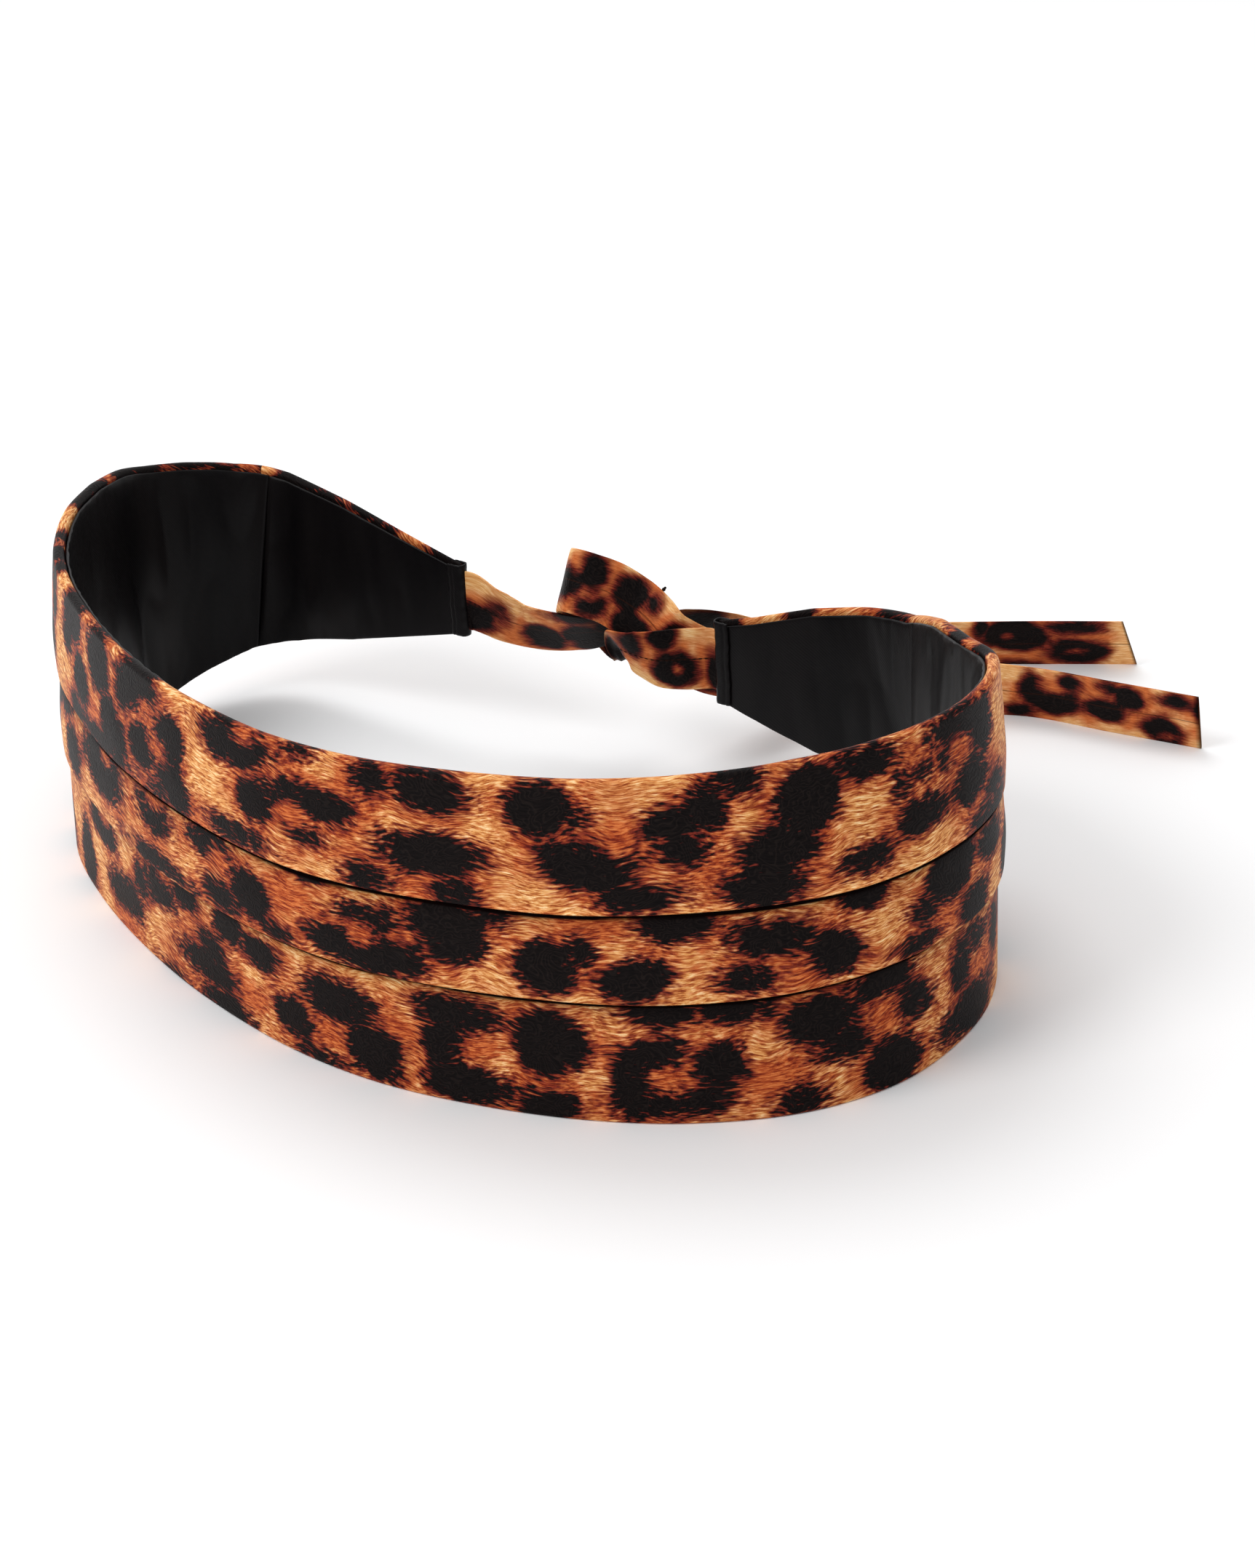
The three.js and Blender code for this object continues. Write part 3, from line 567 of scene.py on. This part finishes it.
def painted_pleat_light(height, row_tier):
    """Painted shade from 1 in the dark line under each pleat to 0 below it, negative for the lip's painted
    highlight.
    """
    shade = np.zeros(height.shape)
    for fold, tier_above, seed in ((fold_low, 2, 3), (fold_high, 1, 4)):
        below = fold - height
        line = (1.75 + 0.35 * waves(front_columns.along, 0 * fold, 38 * MM, seed)) * MM
        under = np.clip((line + 0.25 * MM - below) / (0.5 * MM), 0, 1)
        dim = 0.5 * np.exp(-np.maximum(below - MM, 0) / (2.6 * MM))
        covered = row_tier[:, None] == tier_above + 1
        shade = np.where(covered, np.maximum(shade, np.maximum(under, dim)), shade)
        above = height - fold
        lip = np.exp(-np.maximum(above, 0) / (0.25 * MM))
        lip -= 0.6 * np.exp(-((above - 0.8 * MM) / (0.3 * MM)) ** 2)
        shade = np.where((row_tier[:, None] == tier_above) & (above < 2.5 * MM), lip, shade)
    return shade


front_painted_light = painted_pleat_light(front_up, tier_of_row)
spot = np.empty(front_along.shape)
gap = np.empty(front_along.shape)
for tier in (1, 2, 3):
    spots = [tuple(value * MM for value in row[1:]) for row in SPOTS if row[0] == tier]
    levels = (TIER_BOTTOMS[tier], TIER_TOPS[tier])
    spots += scattered_spots(tier, FURTHER_SPOTS[0], READ_SPOTS[0] - SPOT_MARGIN, *levels)
    spots += scattered_spots(tier + 10, READ_SPOTS[1] + SPOT_MARGIN, FURTHER_SPOTS[1], *levels)
    hearts = [(along * MM, up * MM, *HEART_SIZE) for row, along, up in HEARTS if row == tier]
    rows_here = tier_of_row == tier
    spot[rows_here], gap[rows_here] = spot_fields(front_along[rows_here], front_up[rows_here], spots, hearts)
satin_print = printed_satin("leopard_satin")
front_fields = {"spot": spot, "gap": gap, "painted_light": front_painted_light}
front_shell = cloth("pleated_front", front_rows, front_cloth, front_fields)
thicken(front_shell, SATIN)
front_shell.data.materials.append(satin_print)
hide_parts("front_shell")
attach(front_shell, "root")

# The two back panels are plain lengths of the same satin. They taper towards the ends and have the same
# rolled edges.
PANEL_COLUMNS = 60
PANEL_BOTTOM = 18 * MM
PANEL_TOP = 102 * MM
panel_ends = {
    "left": (0.0, SIDE_SEAMS[0] * BAND_LENGTH - SEAM_GAP / 2),
    "right": (SIDE_SEAMS[1] * BAND_LENGTH + SEAM_GAP / 2, BAND_LENGTH),
}
for side, ends in panel_ends.items():
    columns = BandPlace(np.linspace(*ends, PANEL_COLUMNS))
    path = lower_roll(columns)
    path += straight(path[-1], (0 * columns.foot, columns.crown - HEM_ROLL), 34)
    path += upper_roll(columns)
    rows, along, up, place = band_rows(columns, path, 0.3 * MM, 5)
    spots = scattered_spots(21 if side == "left" else 22, *ends, PANEL_BOTTOM, PANEL_TOP)
    spot, gap = spot_fields(along, up, spots)
    panel = cloth(f"back_panel_cloth_{side}", rows, place, {"spot": spot, "gap": gap})
    thicken(panel, SATIN)
    panel.data.materials.append(satin_print)
    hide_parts(f"back_panel_{side}")
    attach(panel, "root")

# The lining is thin black satin in three lengths. Its edges are turned in and slip-stitched just inside the
# rolled edges, and the cloth between falls in soft upright folds.
LINING_SATIN = 0.3 * MM
LINING_DROP = 2.2 * MM
LINING_RISE = 0.4 * MM
LINING_SEAT = 0.35 * MM
LINING_EDGE = 0.8 * MM


def black_satin(name):
    """Plain black satin with faint upright streaks and a fine diagonal weave."""
    material = bpy.data.materials.new(name)
    material.use_nodes = True
    tree = material.node_tree
    shader = tree.nodes["Principled BSDF"]
    place = node(tree, "ShaderNodeUVMap", uv_map="cloth").outputs["UV"]
    stretched = node(tree, "ShaderNodeMapping", {"Vector": place, "Scale": (34, 8, 1)})
    shade = node(tree, "ShaderNodeTexNoise", {
        "Vector": stretched.outputs["Vector"], "Scale": 1.0, "Detail": 3.0}, noise_dimensions="2D")
    colour = ramp(tree, shade.outputs["Fac"], (
        (0.35, (0.0032, 0.0026, 0.0030)), (0.7, (0.0085, 0.0070, 0.0072))))
    tree.links.new(colour, shader.inputs["Base Color"])
    weave = node(tree, "ShaderNodeTexWave", {"Vector": place, "Scale": 520.0, "Distortion": 0.4},
                 bands_direction="DIAGONAL")
    bump = node(tree, "ShaderNodeBump", {
        "Height": weave.outputs["Fac"], "Strength": 0.12, "Distance": 0.2 * MM})
    tree.links.new(bump.outputs["Normal"], shader.inputs["Normal"])
    shader.inputs["Roughness"].default_value = 0.36
    shader.inputs["Specular IOR Level"].default_value = 0.10
    return material


lining_satin = black_satin("black_lining_satin")


# Each side seam of the lining slants: how far its foot and its top lie from the outer seam, along the band.
SEAM_SLANTS = {"left": (9 * MM, -4.5 * MM), "right": (-10 * MM, -6 * MM)}
SLANT_REACH = 60 * MM
SEAM_LAP = 2.5 * MM
seams = {"left": SIDE_SEAMS[0] * BAND_LENGTH, "right": SIDE_SEAMS[1] * BAND_LENGTH}


def slanted(along, level):
    """Distances along the band, moved with the slant of the side seams at a level from foot to top."""
    moved = along.copy()
    for side, (foot_shift, top_shift) in SEAM_SLANTS.items():
        near = np.clip(1 - np.abs(along - seams[side]) / SLANT_REACH, 0, 1)
        moved += near * (foot_shift + (top_shift - foot_shift) * level)
    return moved


def lining_path(columns, lap):
    """The lining's right side, which faces inwards: up behind, over the top edge, down and under."""
    seat = -columns.hem - LINING_SEAT
    low = columns.foot + LINING_RISE
    high = columns.crown - LINING_DROP - 0.5 * MM * lap
    face = seat - LINING_EDGE * (1 - 0.5 * lap)
    path = [(seat, high - 7 * MM), (seat, high - 3 * MM), (seat, high - 0.5 * MM)]
    path += quarter(path[-1], (seat - LINING_EDGE / 2, high), 3, (seat, high))
    path += quarter(path[-1], (face, high - 0.5 * MM), 3, (face, high))
    path += straight(path[-1], (face, low + 0.5 * MM), 44)
    path += quarter(path[-1], (seat - LINING_EDGE / 2, low), 3, (face, low))
    path += quarter(path[-1], (seat, low + 0.5 * MM), 3, (seat, low))
    path += straight(path[-1], (seat, low + 7 * MM), 2)
    return path, (low, high, seat)


def lining_rows(along, lap, seed):
    """The lining's rows and their cloth places, with soft upright folds and small puckers at its edges."""
    path, (low, high, seat) = lining_path(BandPlace(along), lap)
    levels = [float(np.mean(np.clip((height - low) / (high - low), 0, 1))) for outside, height in path]
    rows = []
    for index, level in enumerate(levels):
        columns = BandPlace(slanted(along, level))
        path, (low, high, seat) = lining_path(columns, lap)
        outside, height = path[index]
        broad = np.abs(waves(along, 0.16 * height, 30 * MM, seed)) * 2.4 * MM
        narrow = np.abs(waves(along, 0.3 * height, 14 * MM, seed + 1)) * 1.3 * MM
        puckers = np.abs(waves(along, 0.4 * height, 6 * MM, seed + 2)) * 0.5 * MM
        held = math.sin(math.pi * level) ** 0.6 if 0 < level < 1 else 0
        near_edge = math.exp(-(1 - level) / 0.1) + math.exp(-level / 0.1)
        slack = np.clip((seat - outside) / LINING_EDGE, 0, 1) * (1 - lap) * columns.fullness
        rows.append(columns.wall(outside - slack * ((broad + narrow) * held + puckers * near_edge), height))
    rows = np.array(rows)
    up = np.vstack([np.zeros(len(along)), np.cumsum(np.linalg.norm(np.diff(rows, axis=0), axis=2), axis=0)])
    return rows, np.stack([np.broadcast_to(along, up.shape), up], 2)


for part, ends, count, seed in (
        ("front", front_ends, 520, 31),
        ("left", (0.0, seams["left"] + SEAM_LAP), 110, 41),
        ("right", (seams["right"] - SEAM_LAP, BAND_LENGTH), 110, 51)):
    along = np.linspace(*ends, count)
    lap = np.zeros(count)
    if part != "front":
        lap = np.clip(1.6 - np.abs(along - (ends[1] if part == "left" else ends[0])) / (2.6 * MM), 0, 1)
    rows, place = lining_rows(along, lap, seed)
    lining = cloth(f"lining_cloth_{part}", rows[::-1, ::-1], place[::-1, ::-1])
    thicken(lining, LINING_SATIN)
    lining.data.materials.append(lining_satin)
    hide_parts(f"lining_{part}")
    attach(lining, "root")

# Each end of the band is closed by a folded black tab, pressed flat over the cloth and ridged where its
# two edges are stitched down.
TAB_REACH = 5.2 * MM
TAB_SATIN = 0.5 * MM
TAB_PROUD = 0.4 * MM
TAB_OUTSIDE = 0.6 * MM
TAB_INSIDE = -(END_HEM_WIDTH + LINING_SEAT + LINING_EDGE + TAB_OUTSIDE)
# Its outline from above, from the inner edge to the end: how far back from the end, and how far the ridge
# beside the stitching stands off the cloth.
TAB_RIDGES = (
    (TAB_REACH, -0.15 * MM), (TAB_REACH - 0.5 * MM, 0.15 * MM), (TAB_REACH - 1.1 * MM, 0.22 * MM),
    (TAB_REACH - 1.7 * MM, -0.12 * MM), (TAB_REACH - 2.3 * MM, 0.12 * MM), (TAB_REACH - 3.1 * MM, 0.20 * MM),
    (TAB_REACH - 3.8 * MM, 0.04 * MM), (0.4 * MM, 0),
)

for side, end in (("left", -1), ("right", 1)):
    tab_columns = BandPlace([0.0 if end < 0 else BAND_LENGTH])
    corner = tab_columns.point[0]
    forward = tab_columns.forward[0] * end
    outward = tab_columns.outward[0]
    low = tab_columns.foot[0] - TAB_PROUD
    high = tab_columns.crown[0] + TAB_PROUD
    outline = [(-back, TAB_INSIDE - ridge) for back, ridge in TAB_RIDGES]
    for step in range(1, 9):
        turn = math.pi * step / 9
        outline.append((-0.4 * MM + 1.3 * MM * math.sin(turn), (TAB_OUTSIDE + TAB_INSIDE) / 2
                        - (TAB_OUTSIDE - TAB_INSIDE) / 2 * math.cos(turn)))
    outline += [(-back, TAB_OUTSIDE + ridge) for back, ridge in reversed(TAB_RIDGES)]
    tab_rows = []
    tab_place = []
    for level in np.linspace(0, 1, 36):
        height = low + (high - low) * level
        pinch = 0.10 * MM * math.sin(level * 41) + 0.16 * MM * math.sin(level * 13 + end)
        tab_rows.append([(*(corner + forward * (x + pinch) + outward * y), height) for x, y in outline])
        tab_place.append([(k * 0.6 * MM, height) for k in range(len(outline))])
    tab_rows, tab_place = np.array(tab_rows), np.array(tab_place)
    if end < 0:
        tab_rows, tab_place = tab_rows[:, ::-1], tab_place[:, ::-1]
    tab = cloth(f"end_tab_cloth_{side}", tab_rows, tab_place)
    thicken(tab, TAB_SATIN)
    tab.data.materials.append(lining_satin)
    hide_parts(f"end_tab_{side}")
    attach(tab, "root")

# The two ties are narrow tubes of the same satin, turned and pressed flat. Each leaves its tab, crosses the
# other in a loose half knot, and lies on the floor on one edge to the tip of its tail.
TIE_WIDTH = 24 * MM
TIE_THICKNESS = 1.3 * MM
# The seam between tab and tie.
TIE_START = 1.6 * MM
# across, back and up as shares of the band's width, depth and height, the direction of one edge, and the
# share of its width that the knot leaves it.
TIE_ROUTES = {
    "left": (
        (-0.280, 0.909, 0.470, 0.17, -0.21, 0.96, 1), (-0.265, 0.911, 0.451, 0.23, -0.27, 0.94, 1),
        (-0.240, 0.912, 0.433, 0.40, -0.40, 0.82, 1), (-0.199, 0.905, 0.442, 0.46, -0.51, 0.73, 1),
        (-0.154, 0.893, 0.478, 0.40, -0.62, 0.68, 0.95), (-0.118, 0.907, 0.480, 0.30, -0.65, 0.69, 0.95),
        (-0.092, 0.943, 0.473, 0.21, -0.69, 0.69, 1), (-0.070, 1.002, 0.408, 0.19, -0.65, 0.74, 1),
        (-0.040, 1.093, 0.284, 0.18, -0.50, 0.85, 1), (0.026, 1.250, 0.183, 0.17, -0.37, 0.91, 1),
    ),
    "right": (
        (-0.050, 0.823, 0.485, 0.02, 0.01, 1, 1), (-0.074, 0.820, 0.477, 0.06, -0.13, 0.99, 1),
        (-0.096, 0.822, 0.480, 0.06, -0.36, 0.93, 0.98), (-0.116, 0.829, 0.486, -0.13, -0.46, 0.88, 0.80),
        (-0.125, 0.850, 0.472, -0.56, -0.50, 0.66, 0.50), (-0.132, 0.887, 0.397, -0.85, -0.51, 0.10, 0.36),
        (-0.146, 0.928, 0.360, -0.94, -0.32, -0.10, 0.40), (-0.166, 0.957, 0.390, -0.82, -0.33, -0.47, 0.60),
        (-0.184, 0.957, 0.472, -0.60, -0.39, -0.70, 0.85), (-0.194, 0.928, 0.566, -0.28, -0.46, -0.84, 1),
        (-0.191, 0.888, 0.632, -0.13, -0.39, -0.91, 1), (-0.175, 0.864, 0.658, -0.07, -0.43, -0.90, 1),
        (-0.158, 0.863, 0.650, -0.07, -0.50, -0.86, 1), (-0.138, 0.871, 0.625, -0.09, -0.59, -0.80, 1),
        (-0.117, 0.876, 0.582, -0.16, -0.62, -0.76, 1), (-0.098, 0.874, 0.539, -0.26, -0.48, -0.84, 0.95),
        (-0.081, 0.872, 0.494, -0.25, -0.24, -0.94, 0.90), (-0.048, 0.917, 0.382, -0.09, -0.04, -0.99, 1),
        (0.008, 1.026, 0.271, 0, 0, -1, 1),
    ),
}
# The tails: across, back, the lift of the lower edge off the floor, and the direction of one edge.
TAILS = {
    "left": (
        (0.062, 1.319, 0.016, 0.14, -0.31, 0.94), (0.112, 1.367, 0, 0.17, -0.35, 0.92),
        (0.182, 1.399, 0, 0.17, -0.35, 0.92), (0.256, 1.430, 0, 0.17, -0.35, 0.92),
    ),
    "right": (
        (0.084, 1.140, 0.040, 0.04, -0.09, -0.99), (0.140, 1.199, 0.006, -0.04, 0.09, -0.99),
        (0.196, 1.219, 0, -0.11, 0.23, -0.97), (0.288, 1.204, 0, -0.11, 0.23, -0.97),
        (0.378, 1.189, 0, -0.11, 0.23, -0.97),
    ),
}
shift_back = -HEM_WIDTH / 2
# The dark spots and orange hearts on the stretches of each tie that lie open: along it from its tab, across
# it towards the edge above, half length and half height, in millimetres.
TIE_SPOTS = {
    "left": (
        # The spots from 52 to 97 mm lie in the knot's shadow and are partly print, partly painted shade.
        (14, 1.5, 7, 5), (5, -5.5, 9, 6), (33, -3, 8, 7), (52, -3, 10, 9), (52, 9.5, 10, 4),
        (74, 1, 14, 11), (97, 0, 12, 11),
        (243, 9, 3, 5), (257, 4.6, 12.5, 8.5), (281, 9.2, 10, 4), (282.4, -4.9, 13, 7), (261, -12, 6, 2),
    ),
    "right": (
        # The large spots at 52 and 76 mm lie in the knot's shadow and are partly print, partly painted shade.
        (1, -6, 3, 6), (16, -4, 8.5, 7), (20, 9, 5.5, 4.5), (33, 6, 4, 6), (52, 0, 13, 12),
        (76, 1, 12, 11), (94, -10.5, 5, 4), (107.5, 2.6, 7, 7), (114, -8, 4.5, 6), (130.5, 1, 12, 6),
        (148, 7.6, 7, 5), (143.5, -5, 4, 6), (164, 6, 8, 5), (159, -4, 5.5, 7), (167.5, -7, 3.5, 4),
        (186, 8, 6, 4), (181, -3, 5, 5), (199, -7, 7, 4), (196, 8, 6, 5), (349.5, 2.6, 9, 4.5),
        (340.8, -3, 5, 7), (370, 1.4, 7.5, 4.5), (357, -8, 5, 4), (380.8, -6, 5.5, 5),
        (373.5, -9.5, 5, 3), (393, 7, 8, 6.5), (400.8, -8, 6.5, 2.5), (410, -6, 3, 4), (333, 9, 5, 3),
    ),
}
TIE_HEARTS = {
    "left": ((255.6, 4.6, 3.5, 2.5), (281.8, -3.6, 4.5, 2.5), (24, -8, 5, 3), (42, -7, 5, 3)),
    "right": (
        (16, -3.5, 2.5, 3), (348, -5, 6, 3), (366, -5.5, 8, 4), (396, 9, 3, 2), (120, -2, 4, 3),
        (192, 10, 5, 3),
    ),
}
# The stretches that are folded away or turned from view.
TIE_SCATTER = {"left": (118, 236), "right": (204, 330)}
# The stretches that lie in the knot's own shadow, darkened with painted shade, from where to where along each
# tie.
TIE_SHADE = {"left": (46, 116), "right": (36, 94)}
TIE_SHADE_DEPTH = 0.8
TIE_SHADE_FADE = 16 * MM
# How far the cut at the tail's tip slants over the tie's width.
TIP_SLANT = {"left": 0.24, "right": 0.02}
# Along the tip's turned edge the colour gets painted shade, TIP_SHADE deep and TIP_HEM wide.
TIP_HEM = 1.0 * MM     # the dark turned edge at the tip
TIP_SHADE = 0.85


class TieLine:
    """A tie's middle line: each sample's place, direction, edge direction, face and width."""

    def __init__(self, side, steps):
        end = BandPlace([0.0 if side == "left" else BAND_LENGTH])
        turn = -1 if side == "left" else 1
        forward = Vector((*end.forward[0], 0)) * turn
        outward = Vector((*end.outward[0], 0))
        start = Vector((*end.point[0], 0)) + forward * TIE_START + outward * (TAB_OUTSIDE + TAB_INSIDE) / 2
        start.z = (end.foot[0] + end.crown[0]) / 2
        middle = [tuple(start), tuple(start + forward * TAB_REACH / 2)]
        edge = [(0, 0, 1), (0, 0, 1)]
        width = [1, 1]
        for row in TIE_ROUTES[side]:
            middle.append((row[0] * BAND_WIDTH, row[1] * BAND_DEPTH + shift_back, row[2] * FRONT_HEIGHT))
            edge.append(Vector(row[3:6]).normalized())
            width.append(row[6])
        for row in TAILS[side]:
            lie = Vector(row[3:6]).normalized()
            stand = abs(lie.z) * TIE_WIDTH / 2 + TIE_THICKNESS / 2 * math.hypot(lie.x, lie.y)
            middle.append((row[0] * BAND_WIDTH, row[1] * BAND_DEPTH + shift_back,
                           row[2] * FRONT_HEIGHT + stand))
            edge.append(lie)
            width.append(1)
        self.middle = smooth_line(middle, steps)
        self.forward = np.gradient(self.middle, axis=0)
        self.forward /= np.linalg.norm(self.forward, axis=1)[:, None]
        edge = smooth_line([tuple(e) for e in edge], steps, centripetal=False)
        edge -= self.forward * (edge * self.forward).sum(1)[:, None]
        self.edge = edge / np.linalg.norm(edge, axis=1)[:, None]
        self.face = np.cross(self.forward, self.edge)
        self.width = np.interp(np.linspace(0, len(width) - 1, steps), np.arange(len(width)), width)
        self.along = np.concatenate([[0], np.cumsum(np.linalg.norm(np.diff(self.middle, axis=0), axis=1))])


# The ties' ground is painted paler than the band's, as painted light for their well-lit faces, though they
# are the same satin.
tie_satin = printed_satin("leopard_satin_ties", 1.6, 0.16, 0, 3.6 * MM, pale=0.08, seamed=True)
tie_lines = {side: TieLine(side, 420) for side in ("left", "right")}
AROUND = 48        # how many steps go round a tie's section


def tie_stand(line, flat, thick):
    """How far a tie's surface stands off its middle, at a share of its half width and of its half body."""
    body = TIE_THICKNESS / 2 * (1 - 0.12 * np.cos(line.along / (17 * MM)))
    gather = (1 - line.width) * 0.5 * MM * math.cos(flat * 9.5)
    sag = waves(line.along, 0 * line.along + flat * 9 * MM, 16 * MM, 61) * 0.35 * MM * (1 - abs(flat) ** 3)
    return thick * body + gather + sag


for side, line in tie_lines.items():
    rows = []
    place = []
    to_tip = np.clip(1 - (line.along[-1] - line.along) / (14 * MM), 0, 1)
    for step in range(AROUND + 1):
        turn = 2 * math.pi * step / AROUND
        flat = math.copysign(abs(math.cos(turn)) ** 0.55, math.cos(turn))
        thick = math.copysign(abs(math.sin(turn)) ** 0.45, math.sin(turn))
        across = flat * TIE_WIDTH / 2 * line.width
        slant = -TIP_SLANT[side] * to_tip * across
        rows.append(line.middle + line.edge * across[:, None] + line.forward * slant[:, None]
                    + line.face * tie_stand(line, flat, thick)[:, None])
        height = flat * TIE_WIDTH / 2 + (TIE_FACES if thick < 0 else 0)
        place.append(np.stack([line.along + slant, 0 * line.along + height], 1))
    rows, place = np.array(rows), np.array(place)
    spots = [tuple(value * MM for value in row) for row in TIE_SPOTS[side]]
    hearts = [tuple(value * MM for value in row) for row in TIE_HEARTS[side]]
    low, high = (value * MM for value in TIE_SCATTER[side])
    spots += scattered_spots(71 if side == "left" else 72, low, high, -14 * MM, 14 * MM, 0.85)
    along, up = place[:, :, 0], place[:, :, 1]
    spot, gap = spot_fields(along, np.where(up > TIE_FACES / 2, up - TIE_FACES, up), spots, hearts)
    shade_from, shade_to = (value * MM for value in TIE_SHADE[side])
    # Painted shade on the stretches in the knot's shadow and along the turned edge at the tip.
    shade = TIE_SHADE_DEPTH * np.clip(np.minimum(along - shade_from, shade_to - along) / TIE_SHADE_FADE, 0, 1)
    from_tip = line.along[-1] + TIP_HEM - line.along
    shade = np.maximum(shade, TIP_SHADE * np.clip(2 - from_tip / TIP_HEM, 0, 1))
    fields = {"spot": spot[::-1], "gap": gap[::-1], "painted_light": shade[::-1]}
    tie = cloth(f"tie_cloth_{side}", rows[::-1], place[::-1], fields, closed=True)
    tie_bm = bmesh.new()
    tie_bm.from_mesh(tie.data)
    open_ends = [e for e in tie_bm.edges if e.is_boundary]
    bmesh.ops.holes_fill(tie_bm, edges=open_ends, sides=0)
    bmesh.ops.recalc_face_normals(tie_bm, faces=tie_bm.faces)
    tie_bm.to_mesh(tie.data)
    tie_bm.free()
    tie.data.materials.append(tie_satin)
    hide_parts(f"tie_{side}")
    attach(tie, "root")

# A short row of dark stitches holds each tie in its tab and runs on along its seam. A knotted end of the same
# thread stands on the loop's edge.
STITCH_SIZE = (0.75 * MM, 0.22 * MM, 0.2 * MM)
STITCH_STEP = 2.3 * MM
FIRST_STITCH = 2 * MM
STITCH_RISE = 0.05 * MM
STITCH_RUNS = {"left": 15 * MM, "right": 40 * MM}
KNOT_END = ("right", 166 * MM, -12.3 * MM)

thread = bpy.data.materials.new("dark_thread")
thread.use_nodes = True
thread_tree = thread.node_tree
thread_place = node(thread_tree, "ShaderNodeTexCoord").outputs["Object"]
twist = node(thread_tree, "ShaderNodeTexWave", {"Vector": thread_place, "Scale": 900.0, "Distortion": 1.0},
             bands_direction="DIAGONAL").outputs["Fac"]
thread_tree.links.new(ramp(thread_tree, twist, ((0.2, (0.003, 0.0015, 0.001)), (0.8, (0.014, 0.006, 0.004)))),
                      thread_tree.nodes["Principled BSDF"].inputs["Base Color"])
thread_tree.nodes["Principled BSDF"].inputs["Roughness"].default_value = 0.85
thread_tree.nodes["Principled BSDF"].inputs["Specular IOR Level"].default_value = 0.1


def tie_place(side, distance):
    """A tie's middle and its three directions at a distance along it."""
    line = tie_lines[side]
    middle, forward, edge, face = (Vector([np.interp(distance, line.along, values[:, k]) for k in range(3)])
                                   for values in (line.middle, line.forward, line.edge, line.face))
    return middle, forward.normalized(), edge.normalized(), face.normalized()


def grain_at(bm, middle, directions, size):
    """A small rounded grain of thread."""
    turn = Matrix([directions[k] * size[k] for k in range(3)]).transposed().to_4x4()
    placed = Matrix.Translation(middle) @ turn
    bmesh.ops.create_uvsphere(bm, u_segments=10, v_segments=6, radius=1, matrix=placed)


stitch_bm = bmesh.new()
for side, run in STITCH_RUNS.items():
    for count in range(int(run / STITCH_STEP)):
        distance = FIRST_STITCH + count * STITCH_STEP
        middle, *directions = tie_place(side, distance)
        for face in (1, -1):
            stand = np.interp(distance, tie_lines[side].along, tie_stand(tie_lines[side], 0, face))
            surface = middle + directions[2] * (stand + face * STITCH_RISE)
            grain_at(stitch_bm, surface, directions, STITCH_SIZE)
middle, *directions = tie_place(*KNOT_END[:2])
for lift, size in ((0, 0.75 * MM), (0.8 * MM, 0.5 * MM)):
    grain_at(stitch_bm, middle + directions[1] * (KNOT_END[2] - lift), directions, (size, size, size))
stitch_mesh = bpy.data.meshes.new("tie_stitches")
stitch_bm.to_mesh(stitch_mesh)
stitch_bm.free()
stitch_mesh.materials.append(thread)
stitches = bpy.data.objects.new("tie_stitches", stitch_mesh)
bpy.context.scene.collection.objects.link(stitches)
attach(stitches, "root")
